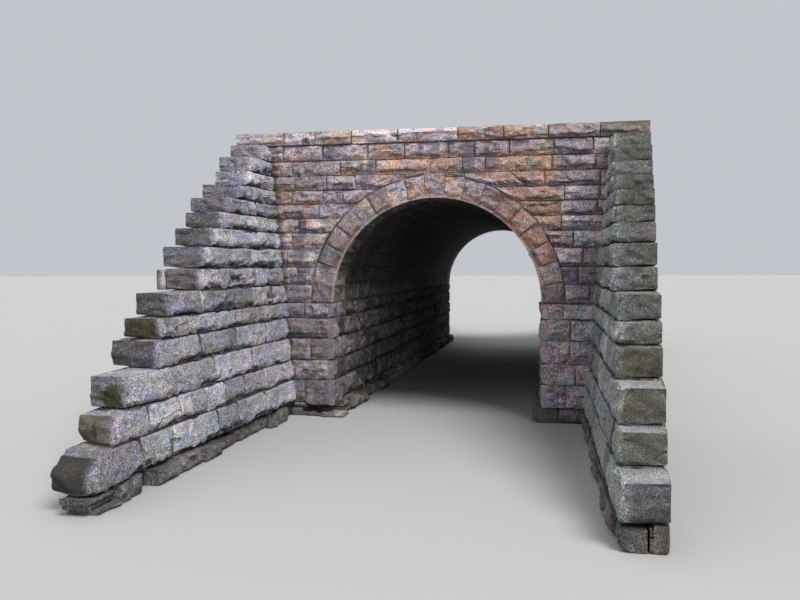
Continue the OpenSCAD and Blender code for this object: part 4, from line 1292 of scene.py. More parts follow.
def wing(end, side):
    first = end == "front" and side == "left"
    mx = -1.0 if side == "left" else 1.0
    my = -1.0 if end == "front" else 1.0

    def mp(s, t, n):
        x = WING_X + BATTER * (t - FOOT) + FLARE * s - n
        return np.stack([mx * x, my * (HALF_L + s), t + 0 * s], axis=-1)

    def thick(s, t):
        return (HALF_W - BACK_TURN * s) - (WING_X + BATTER * (t - FOOT) + FLARE * s)

    k0 = 6000 + (0 if end == "front" else 2000) + (0 if side == "left" else 1000)

    def wx(S, T, N, pos):
        z = T
        ends = np.zeros_like(S)
        over = np.zeros_like(S)
        for i in range(15):
            m_ = (T >= UNDER[i] - 0.01) & (T <= TOP[i] + 0.01)
            ends = np.where(m_, WING_L * COURSE_END[i], ends)
        from_end = ends - S
        endface = smooth(0.10, 0.02, from_end) * smooth(-0.02, -0.12, N)
        if first:
            warm = -0.05 + (0.20 * smooth(2.5, 2.9, z) - 0.1) * endface
            lime = np.zeros_like(S)
            for s_, z_, rs, rz, k in ((3.75, 3.60, 0.13, 0.20, 0.46), (4.09, 3.17, 0.12, 0.22, 0.50), (3.51, 3.16, 0.14, 0.18, 0.36),
                                      (4.21, 2.82, 0.08, 0.28, 0.62), (3.30, 4.00, 0.12, 0.14, 0.42), (5.16, 2.44, 0.13, 0.20, 0.55),
                                      (4.80, 2.45, 0.16, 0.20, 0.52), (1.40, 4.66, 0.22, 0.14, 0.50), (0.75, 4.62, 0.25, 0.12, 0.36),
                                      (2.71, 4.30, 0.16, 0.12, 0.40), (2.21, 1.48, 0.10, 0.18, 0.42), (5.18, 1.03, 0.24, 0.20, 0.72),
                                      (5.42, 0.92, 0.10, 0.22, 0.60), (6.46, 1.10, 0.12, 0.20, 0.45), (5.82, 0.58, 0.20, 0.18, 0.30),
                                      (5.06, 0.70, 0.16, 0.12, 0.40), (1.1, 5.05, 0.25, 0.10, 0.30), (0.5, 5.6, 0.3, 0.1, 0.25),
                                      (2.3, 3.65, 0.10, 0.20, 0.30), (1.7, 3.05, 0.12, 0.2, 0.28), (3.9, 1.98, 0.12, 0.2, 0.3),
                                      (6.0, 1.9, 0.06, 0.15, 0.2), (5.55, 2.0, 0.08, 0.18, 0.35), (3.15, 0.6, 0.06, 0.25, 0.35)):
                lime = lime + k * bump_at(S, z, s_, z_, rs, rz)
            lime = lime * smooth(-0.35, -0.05, N) - 0.10 * endface
            moss = 0.66 * bump_at(S, z, 5.70, 2.38, 0.6, 0.24) * endface * smooth(-0.02, -0.16, N) * smooth(-0.80, -0.55, N) \
                + 0.74 * bump_at(S, z, 6.9, 1.43, 0.6, 0.32) * endface * bump_at(N, N, -0.30, -0.30, 0.44, 0.44) \
                + 0.70 * bump_at(S, z, 7.4, 1.00, 0.3, 0.18) * endface * bump_at(N, N, -0.32, -0.32, 0.11, 0.11) \
                + 0.30 * bump_at(S, z, 6.0, 1.80, 0.5, 0.10) * endface * bump_at(N, N, -0.3, -0.3, 0.25, 0.25)
            olive = 0.16 * endface + 0.35 * bump_at(S, z, 5.7, 2.38, 0.5, 0.3) * endface \
                + 0.35 * bump_at(S, z, 6.9, 1.47, 0.5, 0.3) * endface + 0.40 * bump_at(S, z, 7.4, 1.0, 0.3, 0.25) * endface \
                + 0.30 * bump_at(S, z, 8.2, 0.6, 0.3, 0.3) * endface + 0.30 * bump_at(S, z, 2.0, 2.4, 1.2, 0.5) \
                + 0.22 * bump_at(S, z, 4.0, 1.55, 1.2, 0.3) \
                + 0.30 * smooth(0.15, 0.75, noise(S * 1.1, z * 1.3, S * 0, 96)) - 0.20 * smooth(2.4, 1.4, z) * (1 - endface)
            warm = warm + 0.14 * smooth(0.1, 0.8, noise(S * 1.3, z * 1.5, S * 0 + 4, 97))
            film = 0.10 + 0.20 * bump_at(S, z, 6.0, 1.98, 0.5, 0.25) + 0 * S
            foot_end = endface * smooth(7.0, 7.6, S) * smooth(0.88, 0.80, z)
            warm = warm + 0.60 * foot_end
            film = film - 0.3 * foot_end
            tan_ = 0.0
        else:
            k = noise(S * 0.45, z * 0.5, S * 0 + (3 if side == "left" else 8), 91 + int(my))
            warm = -0.05 + 0.15 * k
            lime = 0.50 * smooth(0.30, 0.8, noise(S * 1.8, z * 0.4, S * 0 + 1.5 * mx, 92 + int(my))) * smooth(-0.35, -0.05, N)
            moss = 0.45 * endface * smooth(0.30, 0.8, noise(S * 0.7, z * 1.1, S * 0 + mx, 93 + int(my)))
            olive = 0.30 * endface + 0.30 * smooth(0.0, 0.8, noise(S * 0.5, z * 0.6, S * 0 + mx, 95 + int(my)))
            if end == "front":
                warm, olive = warm + 0.10, olive + 0.12
                # paler by the head wall: painted light against the corner's shade
                lime = lime + 0.40 * smooth(0.9, 0.1, S) * smooth(2.4, 3.0, z)
            film = 0.08 + 0 * S
        top = smooth(-0.10, -0.30, N) * smooth(0.05, 0.0, np.minimum(np.abs(T - TOPS_AT(T)), 0.05))
        moss = moss + 0.20 * top
        if first:
            lime = lime + 0.70 * top * smooth(6.2, 7.2, S)
        # the ends are darker: dirt and damp, and painted shade
        damp = 0.25 * smooth(0.60, 0.32, z) + endface * (0.16 + 0.34 * smooth(0.86, 0.78, z) * smooth(-0.04, -0.16, N))
        soil = np.zeros_like(S)
        for i in range(15):
            soil = np.where((T >= UNDER[i] - 0.01) & (T <= TOP[i] + 0.01), END_SOIL_AND_SHADE[i] if first else 0.7, soil)
        soil = soil * endface
        if end == "front" and not first:
            soil = np.maximum(soil, 0.24 * smooth(0.3, 0.9, S))
        if first:
            # the corner with the head wall: darker in it, painted shade
            soil = np.maximum(soil, 0.80 * smooth(0.16, 0.03, S) * smooth(0.8, 1.6, z))
            olive = olive + 0.40 * smooth(0.14, 0.04, S) * smooth(2.5, 3.5, z)
        return {"warm": warm, "lime": lime, "moss": moss, "damp": damp, "olive": olive, "film": film, "soil": soil}

    carve = bites_fn(WING_BITES, 71) if first else None
    w_ = wall(f"{end}_{side}_wing_stones", f"{end}_{side}_wing", "wing_stone", mp, wx,
              [M_WING_RIGHT if end == "front" and not first else M_WING, M_MORTAR], carve)
    cell = 0.034 if first else 0.090
    lod = 0 if first else 1
    near_end = end == "front" and not first         # its steps stand close to the camera
    for i in range(15):
        t0, t1 = UNDER[i], TOP[i]
        end_s = WING_L * COURSE_END[i]
        over = WING_L * COURSE_END[i - 1] if i else 0.07
        if first:
            js = list(WING_JOINTS[i])
        else:
            rng = np.random.default_rng(k0 + 500 + i)
            js = [j + rng.uniform(-0.25, 0.25) for j in WING_JOINTS[i]]
            js = [j for j in js if 0.35 < j < end_s - 0.35]
        pts = [0.0] + js + [end_s]
        for n, (a, b) in enumerate(zip(pts[:-1], pts[1:])):
            seed = k0 + i * 20 + n
            last = n == len(pts) - 2
            exposed = b > over - 0.02
            amp = 0.036 if i > 10 else 0.046
            lump = 0.28 if i == 14 and first else 0.36 if i > 10 else 0.64
            rag = 0.050 if i < 14 else 0.06
            common = dict(lump=lump, gap=0.008, gap_s=(0.032 if i > 10 else 0.034) if first else 0.024, chips=0.11, joint_dirt_and_shade=1.3,
                          vary=0.24, round_s=(0.034 if i > 10 else 0.045) if first else 0.03)
            if first and last and i > 11:
                amp = (0.046, 0.050, 0.055)[i - 12]
            if first and (i, n) in WING_TONES:
                common["tone"] = WING_TONES[i, n]
            if exposed:
                # right through the wall: its back face follows the wall's back plane
                T_mid = float(thick((a + b) / 2, (t0 + t1) / 2))
                ext = BACK_OUT.get(i, 0.0) if first else 0.0

                def mpt(s, t, nn, T_mid=T_mid, ext=ext):
                    full = thick(s, t) + np.minimum(ext, BACK_TURN * s - 0.006)
                    return mp(s, t, np.where(nn < -0.2, -0.2 + (nn + 0.2) * (full - 0.2) / (T_mid - 0.2), nn))
                if first and last and i == 14:
                    common["tB"] = lambda s, t0=t0: t0 - 0.065 * smooth(6.8, 7.9, s)     # it hangs lower at its end
                w_.stone(a, b, t0, t1, T_mid, seed, cell=0.046 if near_end and last else cell,
                         deep=0.060 if end == "front" and last else 0.12 if first else 0.16,
                         back=True, amp=amp, lod=0 if near_end and last else lod, style="pillow", show="tk" + ("r" if last else ""), mapf=mpt,
                         round_=(0.040 if i > 12 else 0.028) if last else 0.014, side_amp=0.024, set_back=0.0, end_bulge=0.020 if last else 0.0,
                         ragged=rag, spall=1.0, corner=(0.17 if i > 11 else 0.11) if last else 0.0, rock="r" if last else "",
                         lift=0.035 if last and i == 14 else 0.03 if last else 0.0,
                         worn={14: (0.12, 0.24, 0.08, 0.05), 13: (0.0, 0.06, 0.03, 0.14), 11: (0.02, 0.03, 0.03, 0.05)}.get(i) if first and last else None,
                         **common)
                if first and last and i == 8:
                    # a thin stone of its own stands behind the last one of this course
                    def mps(s, t, nn):
                        return mp(s, t, nn - thick(s, t) - 0.012)
                    w_.stone(a + 0.25, b + 0.02, t0, t1 - 0.02, 0.165, seed + 11, cell=0.045, deep=0.06, back=True, amp=0.0,
                             lod=1, style="rubble", show="rtk", rock="r", mapf=mps, round_=0.03, tone=0.68)
            else:
                w_.stone(a, b, t0, t1, 0.36, seed, cell=cell, amp=amp, style="pillow", lod=lod, ragged=rag,
                         spall=1.0, round_=0.014, **common)

                # facing of the wall's back, coarser
                def mpb(s, t, nn):
                    return mp(s, t, -thick(s, t) - nn)
                w_.stone(a, b, t0, t1, 0.2, seed + 700, cell=0.24, amp=0.0, style="rubble", mapf=mpb, lod=2, round_=0.03,
                         gap=0.012)
        lim = min(over - 0.05, end_s - 0.25)
        if lim > 0.1:
            w_.block(0.0, lim, t0, t1, -0.075, lambda s, t: -thick(s, t) + 0.05, cell=1.2)


def TOPS_AT(T):
    """The nearest course top above or at each height."""
    out = np.full_like(T, 99.0)
    for t in TOP:
        out = np.where(np.abs(T - t) < np.abs(T - out), t, out)
    return out


# ------------------------------------------------------------------ footings
def rubble_row(w_, s0, s1, t_top, depth, seed, mapf, lo=0.35, hi=0.85, cell=0.045, out=0.05, gone=(), show="",
               amp=0.03, lod=0, low=0.0, split=0.35, gap=0.016, round_=0.022):
    """A rough ground course: blocks of uneven size, some of two slabs."""
    rng = np.random.default_rng(seed)
    s = s0
    n = 0
    while s < s1 - 0.12:
        b = min(s + rng.uniform(lo, hi), s1)
        if s1 - b < lo * 0.6:
            b = s1
        back_off = rng.uniform(-0.5, 1.0) * out
        skip = any(g0 < (s + b) / 2 < g1 for g0, g1 in gone)
        if not skip:
            two = rng.random() < split
            tm = t_top * rng.uniform(0.42, 0.62)
            top = t_top - low * rng.random()
            parts = [(0.0, tm), (tm, top)] if two else [(0.0, top)]
            for j, (ta, tb) in enumerate(parts):
                w_.stone(s, b, ta, tb, depth, seed * 31 + n * 3 + j, cell=cell, amp=amp, style="rubble",
                         set_back=max(back_off, -0.03) + 0.03 * j, round_=round_, gap=gap, mapf=mapf, show=show,
                         side_amp=0.02, lod=lod, chips=0.12 if amp else 0.0)
        s = b
        n += 1


def footings():
    for end in ("front", "back"):
        my = -1.0 if end == "front" else 1.0
        for side in ("left", "right"):
            mx = -1.0 if side == "left" else 1.0
            first = end == "front" and side == "left"
            k0 = 9000 + (0 if end == "front" else 200) + (0 if side == "left" else 100)
            endl = WING_L + 0.1

            def mp(s, t, n, mx=mx, my=my):
                return np.stack([mx * (WING_X - 0.02 + FLARE * s - n), my * (HALF_L + s), t + 0 * s], axis=-1)

            def th(s):
                return (HALF_W - BACK_TURN * s) - (WING_X - 0.02 + FLARE * s)

            def mb(s, t, n, mx=mx, my=my):
                return np.stack([mx * (HALF_W - BACK_TURN * s + n), my * (HALF_L + s), t + 0 * s], axis=-1)

            def wx(S, T, N, pos, first=first):
                slab = bump_at(pos[..., 0], T, -2.14, 0.08, 0.17, 0.10) * smooth(-9.0, -9.4, pos[..., 1]) if first else 0.0
                return {"damp": 0.40 * smooth(0.20, 0.0, T) * (1 - slab), "moss": 0.08 + 0 * S, "lime": 0.04 + 0.50 * slab + 0 * S,
                        "olive": 0.15 + 0 * S, "soil": 0.45 * smooth(-9.25, -8.95, pos[..., 1]) * smooth(-2.6, -2.3, pos[..., 0]) if first else 0 * S}

            w_ = wall(f"{end}_{side}_wing_footing_stones", f"{end}_{side}_wing_footing", "footing_stone", mp, wx,
                      [M_FOOT, M_DARK_MORTAR])
            if first:
                big = dict(cell=0.036, style="rubble", round_=0.016, gap=0.014, gap_s=0.035, show="lrt", rock="lr", side_amp=0.016,
                           deep=0.06, chips=0.10, vary=0.22)
                # from the far end: slabs, two blocks, a gap, then blocks that stand under the wall more and more
                w_.stone(7.47, 8.16, 0.165, 0.262, 0.46, k0 + 1, amp=0.02, set_back=0.02, **{**big, "gap": 0.01})
                w_.stone(7.46, 8.10, 0.080, 0.165, 0.46, k0 + 2, amp=0.015, set_back=0.07, **{**big, "gap": 0.01})
                w_.stone(7.40, 8.00, 0.0, 0.082, 0.46, k0 + 3, amp=0.015, set_back=-0.03, **{**big, "gap": 0.006})
                w_.stone(7.12, 7.45, 0.0, 0.285, 0.5, k0 + 11, amp=0.03, set_back=-0.04, **big)
                w_.stone(6.76, 7.10, 0.0, 0.312, 0.5, k0 + 12, amp=0.03, set_back=0.0, **big)
                w_.stone(5.64, 6.38, 0.0, 0.27, 0.5, k0 + 13, amp=0.03, set_back=-0.03, **big)
                w_.stone(4.78, 5.62, 0.0, 0.30, 0.5, k0 + 14, amp=0.03, set_back=-0.01, **big)
                w_.stone(4.02, 4.75, 0.0, 0.26, 0.5, k0 + 15, amp=0.03, set_back=-0.05, **big)
                w_.stone(3.22, 3.98, 0.0, 0.23, 0.5, k0 + 16, amp=0.03, set_back=0.09, tone=0.3, **big)
                w_.stone(2.44, 3.20, 0.0, 0.26, 0.5, k0 + 17, amp=0.03, set_back=0.12, tone=0.3, **big)
                w_.stone(1.66, 2.42, 0.0, 0.25, 0.5, k0 + 18, amp=0.03, set_back=0.14, tone=0.3, **big)
                # a slab fallen on edge against the wall
                w_.stone(0.62, 1.60, 0.0, 0.30, 0.10, k0 + 9, amp=0.012, set_back=-0.03, tT=lambda s: 0.30 - 0.27 * smooth(0.95, 1.62, s),
                         **{**big, "gap": 0.01})
                w_.stone(0.10, 1.70, 0.0, 0.26, 0.4, k0 + 10, amp=0.02, set_back=0.14, **big)
            else:
                rubble_row(w_, 0.0, endl - 0.02, FOOT, 0.34, k0 + 1, mp, cell=0.06 if end == "front" else 0.09,
                           show="r", out=0.07, hi=1.0, lod=1, low=0.05)
            rubble_row(w_, 0.0, 7.4 if first else endl - 0.02, FOOT, 0.2, k0 + 2, mb, cell=0.16, out=0.02, amp=0.0, lod=2, split=0.0)
            w_.block(0.0, 7.3 if first else endl - 0.45, 0.0, FOOT - 0.01, -0.22, lambda s, t: -th(s) + 0.06, cell=1.0, mapf=mp)
            # across the wing's end
            me2 = lambda s, t, n, mx=mx, my=my: np.stack([mx * (WING_X + FLARE * WING_L + s), my * (HALF_L + endl - 0.02 + n), t + 0 * s], axis=-1)
            wd = HALF_W - BACK_TURN * WING_L - WING_X - FLARE * WING_L
            if not first:
                rubble_row(w_, 0.34, wd - 0.02, FOOT, 0.4, k0 + 3, me2, cell=0.08, out=0.03,
                           amp=0.0, lo=0.3, hi=0.5, lod=1, show="lr", low=0.03)

            # under the pier: along its front, and along the passage
            if end == "front":
                mf = lambda s, t, n, mx=mx: np.stack([mx * s, -HALF_L - n, t + 0 * s], axis=-1)
            else:
                mf = lambda s, t, n, mx=mx: np.stack([mx * s, HALF_L + n, t + 0 * s], axis=-1)
            mj = lambda s, t, n, mx=mx, my=my: np.stack([mx * (R_IN - LEDGE - n), my * (HALF_L - s), t + 0 * s], axis=-1)
            p_ = wall(f"{end}_{side}_pier_footing_stones", f"{end}_{side}_pier_footing", "footing_stone", mf, wx,
                      [M_FOOT, M_DARK_MORTAR])
            if first:
                # scoured out under the corner, with slabs left lying in the hollow
                fs = dict(cell=0.032, style="rubble", show="lrt", round_=0.016, gap=0.008, side_amp=0.014, chips=0.08)
                p_.stone(2.04, 2.56, 0.0, 0.10, 0.42, k0 + 41, amp=0.012, set_back=-0.10, tone=1.0, rock="lr", deep=0.05, **fs)
                p_.stone(2.60, 2.92, 0.0, 0.06, 0.40, k0 + 42, amp=0.012, set_back=0.0, tone=0.6, **fs)
                p_.stone(2.72, 3.05, 0.0, 0.10, 0.45, k0 + 46, amp=0.02, set_back=0.06, **fs)
                p_.stone(2.92, 3.26, 0.20, FOOT, 0.40, k0 + 43, amp=0.02, set_back=0.02, **fs)
                p_.stone(2.66, 2.90, 0.235, FOOT, 0.35, k0 + 44, amp=0.02, set_back=0.07, **fs)
                p_.stone(3.02, 3.30, 0.0, 0.20, 0.40, k0 + 47, amp=0.02, set_back=0.05, **fs)
                p_.block(2.75, HALF_W - 0.04, 0.0, FOOT, -0.50, -(WALL_T - 0.02), cell=0.5)
                p_.block(3.3, HALF_W - 0.04, 0.0, FOOT, -0.06, -0.5, cell=0.5)
                rubble_row(p_, 0.50, WALL_T - 0.01, FOOT - 0.01, 0.6, k0 + 45, mj, cell=0.04, lo=0.3, hi=0.45, out=0.03, show="lt")
            else:
                rubble_row(p_, R_IN - LEDGE + 0.5, HALF_W - 0.01, FOOT, 0.40, k0 + 4, mf, cell=0.05 if end == "front" else 0.09,
                           out=0.05, show="r", lod=0 if end == "front" else 1)
                rubble_row(p_, 0.0, WALL_T - 0.01, FOOT, 0.5, k0 + 5, mj, cell=0.06, lo=0.3, hi=0.5, out=0.04, show="lt", lod=1)
                p_.block(R_IN + 0.2, HALF_W - 0.04, 0.0, FOOT, -0.12, -(WALL_T - 0.02), cell=0.5)
            # its outer end
            me_ = lambda s, t, n, mx=mx, my=my: np.stack([mx * (HALF_W + n), my * (HALF_L - s), t + 0 * s], axis=-1)
            rubble_row(p_, 0.0 if first else 0.38, WALL_T, FOOT, 0.3, k0 + 7, me_, cell=0.16, out=0.01, amp=0.0, lo=0.25,
                       hi=0.5, lod=2, split=0.0)


# ------------------------------------------------------------------ the barrel
def lengths(rng, lo, hi, a, b):
    pts = [a]
    while pts[-1] < b - hi:
        pts.append(pts[-1] + rng.uniform(lo, hi))
    if b - pts[-1] > hi * 0.8:
        pts.append((pts[-1] + b) / 2)
    pts.append(b)
    return pts


def barrel():
    def wx_in(S, T, N, pos):
        y = pos[..., 1]
        z = pos[..., 2]
        depth_in = np.minimum(np.abs(y + HALF_L), np.abs(y - HALF_L))
        olive = 0.40 * smooth(2.2, 0.9, depth_in) * smooth(1.9, 2.5, z) * smooth(3.6, 3.0, z) \
            + 0.30 * smooth(0.6, 1.4, depth_in) * smooth(1.2, 1.8, z)
        # darker high under the vault and deep in the passage: painted shade, with some damp and dirt
        return {"damp": 0.08 + 0.26 * smooth(2.5, 8.0, depth_in) * smooth(0.5, 1.7, z) + 0.42 * smooth(2.8, 3.6, z),
                "lime": 0.06 * smooth(2.5, 0.5, depth_in) + 0.35 * smooth(4.0, 6.0, depth_in) * smooth(0.9, 0.6, z), "moss": 0 * S,
                "warm": 0.10 + 0 * S,
                "soil": 0.90 * smooth(2.7 - 0.25 * smooth(3.0, 4.5, depth_in), 3.1, z) + 0.10 * smooth(3.2, 3.8, z) + 0.70 * smooth(0.0, 3.0, y) * smooth(3.2, 2.7, z)
                + (0.55 * smooth(1.12, 0.95, depth_in) * smooth(1.7, 1.5, z)
                   + 0.40 * smooth(1.3, 1.1, z) * smooth(1.2, 1.5, depth_in) * smooth(4.8, 3.8, depth_in)) * (y < 0),
                "film": 0.35 * smooth(1.7, 0.9, depth_in) * smooth(1.4, 0.9, z), "olive": olive}

    def wx_out(S, T, N, pos):
        return {"damp": 0.05 + 0 * S, "warm": -0.05 + 0 * S, "olive": 0.1 + 0 * S}

    for side in ("left", "right"):
        mx = -1.0 if side == "left" else 1.0
        k0 = 12000 + (0 if side == "left" else 1000)
        mp = lambda s, t, n, mx=mx: np.stack([mx * (R_IN - n), s + 0 * t, t + 0 * s], axis=-1)
        mo = lambda s, t, n, mx=mx: np.stack([mx * (R_IN + ABUT_T + n), s + 0 * t, t + 0 * s], axis=-1)
        w_ = wall(f"{side}_abutment_stones", f"{side}_abutment", "barrel_stone", mp, wx_in, [M_BARREL_SHADED, M_DARK_MORTAR])
        for i in range(10, 15):
            rng = np.random.default_rng(k0 + i)
            pts = lengths(rng, 0.75, 1.45, -BARREL, BARREL)
            for n, (a, b) in enumerate(zip(pts[:-1], pts[1:])):
                far = min(abs(a + BARREL), 99)
                cell = 0.05 if far < 3.0 and side == "left" else 0.10 if far < 9 else 0.15
                w_.stone(a, b, UNDER[i], TOP[i], 0.4, k0 + i * 40 + n, cell=cell, amp=0.052, style="pillow",
                         tone=((0.6, 1.4, 1.2), (0.05, 1.1, 1.0), (0.40, 0.6, 0.6), (-0.10, 0.1, 0.1), (0.35, 0.2, 0.2))[i - 10][n] if n < 3 and side == "left" else None,
                         film=0.35 if n == 0 and side == "left" and i == 13 else 0.0,
                         lod=0 if cell < 0.06 else 1, ragged=0.055, chips=0.10, lump=1.15, gap_s=0.016, joint_dirt_and_shade=1.2)
            w_.weather = wx_out
            pts = lengths(rng, 0.6, 1.2, -BARREL, BARREL)
            for n, (a, b) in enumerate(zip(pts[:-1], pts[1:])):
                w_.stone(a, b, UNDER[i], TOP[i], 0.4, k0 + 400 + i * 40 + n, cell=0.24, amp=0.0, style="rubble", mapf=mo,
                         lod=2, round_=0.04, gap=0.02)
            w_.weather = wx_in
        w_.block(-BARREL + 0.01, BARREL - 0.01, FOOT, Z_SPRING - 0.03, -0.05, -(ABUT_T - 0.05), cell=2.0)

        f_ = wall(f"{side}_abutment_footing_stones", f"{side}_abutment_footing", "footing_stone", mp,
                  lambda S, T, N, pos: {"damp": 0.15 + 0.30 * smooth(0.20, 0.0, T)
                                        - 0.30 * smooth(3.5, 6.0, pos[..., 1] + HALF_L) * smooth(12.0, 10.0, pos[..., 1] + HALF_L) * (np.abs(pos[..., 0]) < 2.6),
                                        "soil": 0.30 * smooth(1.25, 1.0, pos[..., 1] + HALF_L)
                                        + 0.30 * smooth(1.9, 2.2, pos[..., 1] + HALF_L) * smooth(4.0, 3.0, pos[..., 1] + HALF_L)
                                        + 0.35 * smooth(0.16, 0.05, T) * smooth(4.0, 3.0, pos[..., 1] + HALF_L),
                                        "lime": 0.50 * smooth(4.0, 6.0, pos[..., 1] + HALF_L) * smooth(12.0, 10.0, pos[..., 1] + HALF_L) * (np.abs(pos[..., 0]) < 2.6)
                                        + 0.35 * bump_at(pos[..., 1] + HALF_L, T, 1.45, 0.27, 0.4, 0.10)},
                  [M_FOOT, M_MORTAR])
        ml = lambda s, t, n, mx=mx: np.stack([mx * (R_IN - LEDGE - n), s + 0 * t, t + 0 * s], axis=-1)
        rubble_row(f_, -BARREL, -BARREL + 4.0, FOOT, 0.55, k0 + 900, ml, cell=0.05, out=0.10, lo=0.5, hi=1.05, show="tlr",
                   amp=0.06, lod=0 if side == "left" else 1, low=0.09, round_=0.035, split=0.15)
        rubble_row(f_, -BARREL + 4.0, BARREL, FOOT, 0.55, k0 + 905, ml, cell=0.13, out=0.08, hi=0.95, show="tlr", amp=0.04,
                   lod=1, low=0.08, round_=0.04)
        rubble_row(f_, -BARREL, BARREL, FOOT, 0.4, k0 + 901, mo, cell=0.24, out=0.02, amp=0.0, lod=2, split=0.0, hi=1.0)
        f_.block(-BARREL + 0.01, BARREL - 0.01, 0.0, FOOT - 0.02, -0.05, -(ABUT_T - 0.06), cell=2.0)

    # the vault: eighteen courses between the springings, bonded along the passage
    mv = lambda s, t, n: np.stack([-(R_IN - n) * np.cos(t), s + 0 * t, Z_SPRING + (R_IN - n) * np.sin(t)], axis=-1)
    ma = lambda s, t, n: mv(s, t / R_IN, n)          # t in metres along the curve
    thirds = {}
    for key, node in (("left", "left_vault"), ("crown", "crown_vault"), ("right", "right_vault")):
        thirds[key] = wall(f"{node}_stones", node, "barrel_stone", mv, wx_in, [M_BARREL_SHADED, M_DARK_MORTAR])
    courses = 18
    pitch = math.pi / courses
    for c in range(courses):
        w_ = thirds["left" if c < 6 else "crown" if c < 12 else "right"]
        rng = np.random.default_rng(14000 + c)
        pts = lengths(rng, 0.8, 1.4, -BARREL, BARREL)
        for n, (a, b) in enumerate(zip(pts[:-1], pts[1:])):
            near = abs(a + BARREL) < 3.0 and c < 9
            w_.stone(a, b, c * pitch * R_IN, (c + 1) * pitch * R_IN, VAULT_T - 0.012, 14100 + c * 40 + n,
                     cell=0.07 if near else 0.22, deep=0.6, back=True, amp=(0.032 if c < 4 else 0.020) if near else 0.012,
                     style="pillow" if near else "smooth", show="k", mapf=ma, lump=0.7 if c < 4 else 0.45,
                     round_=0.010, side_amp=0.0, lod=1 if near else 2, gap=0.002, joint_dirt_and_shade=0.15)
    for key, a0, a1 in (("left", 0, 6), ("crown", 6, 12), ("right", 12, 18)):
        w_ = thirds[key]
        for c in range(a0, a1):
            w_.block(-BARREL + 0.01, BARREL - 0.01, c * pitch, (c + 1) * pitch, -0.04, -(VAULT_T - 0.05), mapf=mv, cell=3.0)

    # rough backing over the haunches
    for side in ("left", "right"):
        mx = -1.0 if side == "left" else 1.0
        k0 = 16000 + (0 if side == "left" else 500)
        ro = R_IN + VAULT_T
        mo = lambda s, t, n, mx=mx: np.stack([mx * (R_IN + ABUT_T + n), s + 0 * t, t + 0 * s], axis=-1)
        w_ = wall(f"{side}_haunch_backing_stones", f"{side}_haunch_backing", "barrel_stone", mo, wx_out, [M_BARREL_SHADED, M_DARK_MORTAR])
        heights = [Z_SPRING, Z_SPRING + 0.31, Z_SPRING + 0.60, Z_SPRING + 0.88]
        coarse = dict(cell=0.34, amp=0.0, style="rubble", lod=2, round_=0.04, gap=0.02)
        for j in range(3):
            rng = np.random.default_rng(k0 + j)
            pts = lengths(rng, 0.5, 1.1, -BARREL, BARREL)
            for n, (a, b) in enumerate(zip(pts[:-1], pts[1:])):
                w_.stone(a, b, heights[j], heights[j + 1], 0.3, k0 + 100 + j * 60 + n, **coarse)
        # the sloping top, of flat pieces set in mortar, from the outer edge up to the vault
        p0 = np.array([R_IN + ABUT_T, 0.9])
        p1 = np.array([0.7 * R_IN, 1.9])
        d = p1 - p0                                     # it meets the vault's outer face at k of the way
        qa, qb, qc = d @ d, 2 * p0 @ d, p0 @ p0 - ro * ro
        k = (-qb - math.sqrt(qb * qb - 4 * qa * qc)) / (2 * qa)
        length = float(np.linalg.norm(d) * k)
        un = d / np.linalg.norm(d)
        nrm = np.array([-un[1], un[0]])
        if nrm[1] < 0:
            nrm = -nrm

        def ms(s, t, n, mx=mx, p0=p0, un=un, nrm=nrm):
            x = p0[0] + un[0] * t + nrm[0] * n
            z = p0[1] + un[1] * t + nrm[1] * n
            return np.stack([mx * x, s + 0 * t, Z_SPRING + z], axis=-1)
        rows = 3
        for j in range(rows):
            rng = np.random.default_rng(k0 + 20 + j)
            pts = lengths(rng, 0.5, 1.1, -BARREL, BARREL)
            for n, (a, b) in enumerate(zip(pts[:-1], pts[1:])):
                w_.stone(a, b, 0.02 + (length - 0.02) * j / rows, 0.02 + (length - 0.02) * (j + 1) / rows, 0.16,
                         k0 + 300 + j * 60 + n, mapf=ms, **coarse)
        w_.block(-BARREL + 0.01, BARREL - 0.01, 0.10, length - 0.01, -0.04, -0.5, mapf=ms, cell=2.0)
        w_.block(-BARREL + 0.01, BARREL - 0.01, Z_SPRING, Z_SPRING + 0.86, -0.05, -0.65, mapf=mo, cell=2.0)


head_wall("front")
head_wall("back")
ring("front")
ring("back")
coping("front")
coping("back")
for _e in ("front", "back"):
    for _s in ("left", "right"):
        wing(_e, _s)
footings()
barrel()

total = 0
for w in WALLS:
    w.build(w.mats)
    total += w.tris
    print(f"{w.name}: {w.tris} triangles")
print("all pieces:", total, "triangles")


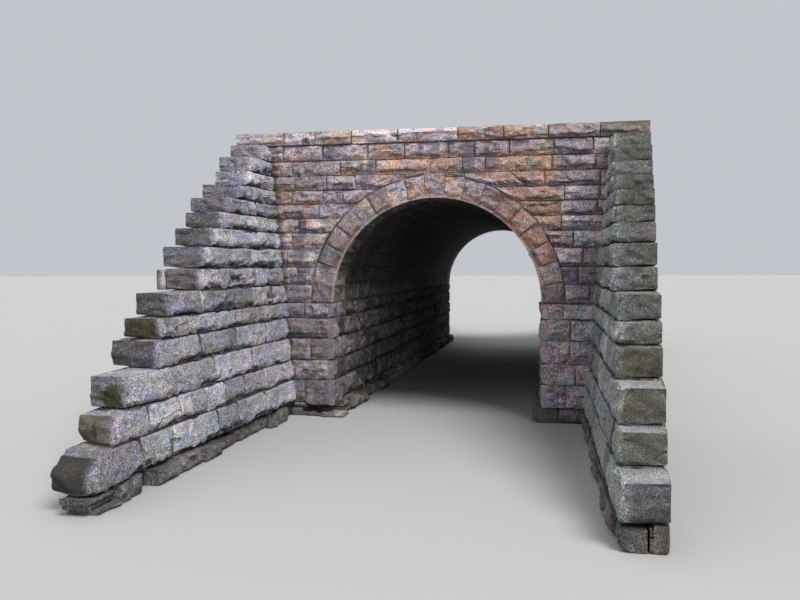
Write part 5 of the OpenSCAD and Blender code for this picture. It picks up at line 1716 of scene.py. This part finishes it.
# ------------------------------------------------------------------ floor, light and camera
def floor_and_light():
    me = bpy.data.meshes.new("floor")
    s = 220.0
    me.from_pydata([(-s, -s, 0), (s, -s, 0), (s, s, 0), (-s, s, 0)], [], [(0, 1, 2, 3)])
    fl = bpy.data.objects.new("floor", me)
    fl.location = (0, 0, -0.002)
    bpy.context.scene.collection.objects.link(fl)
    m, nt = new_mat("floor_pale")
    N = Nodes(nt)
    N.finish((0.335, 0.334, 0.330, 1.0), 0.9, None)
    me.materials.append(m)

    world = bpy.data.worlds.new("studio")
    bpy.context.scene.world = world
    world.use_nodes = True
    bg = world.node_tree.nodes["Background"]
    bg.inputs["Color"].default_value = (0.90, 0.94, 1.0, 1.0)
    bg.inputs["Strength"].default_value = 0.60

    def sun(name, direction, power, angle, colour=(1, 1, 1)):
        li = bpy.data.lights.new(name, "SUN")
        li.energy = power
        li.angle = math.radians(angle)
        li.color = colour
        ob = bpy.data.objects.new(name, li)
        ob.rotation_euler = Vector(direction).to_track_quat("-Z", "Y").to_euler()
        ob.location = (0, 0, 30)
        bpy.context.scene.collection.objects.link(ob)

    sun("key", (-0.58, 0.55, -1.0), 4.0, 30, (1.0, 0.98, 0.95))
    sun("fill", (0.70, 0.80, -0.60), 0.45, 60, (0.93, 0.96, 1.0))
    sun("low", (-0.45, 0.88, -0.12), 0.75, 24, (1.0, 0.99, 0.98))
    sun("rear", (0.35, -0.7, -0.9), 0.8, 50)


floor_and_light()

cam = bpy.data.cameras.new("camera")
cam.sensor_width = 36.0
cam.sensor_fit = "HORIZONTAL"
cam.lens = 867.95 / 800 * 36.0
cam.clip_start, cam.clip_end = 0.1, 500
co = bpy.data.objects.new("camera", cam)
fwd = Vector((-0.1909255, 0.98073354, -0.04134225))
right = Vector((0.98159748, 0.1909144, -0.00425311))
up = Vector((-0.00372166, 0.04139347, 0.99913599))
rot = Matrix((right, up, -fwd)).transposed().to_4x4()
co.matrix_world = Matrix.Translation((2.860, -28.253, 3.404)) @ rot
bpy.context.scene.collection.objects.link(co)
bpy.context.scene.camera = co

sc = bpy.context.scene
sc.view_settings.view_transform = "Standard"
sc.view_settings.look = "None"
sc.view_settings.exposure = 0.0
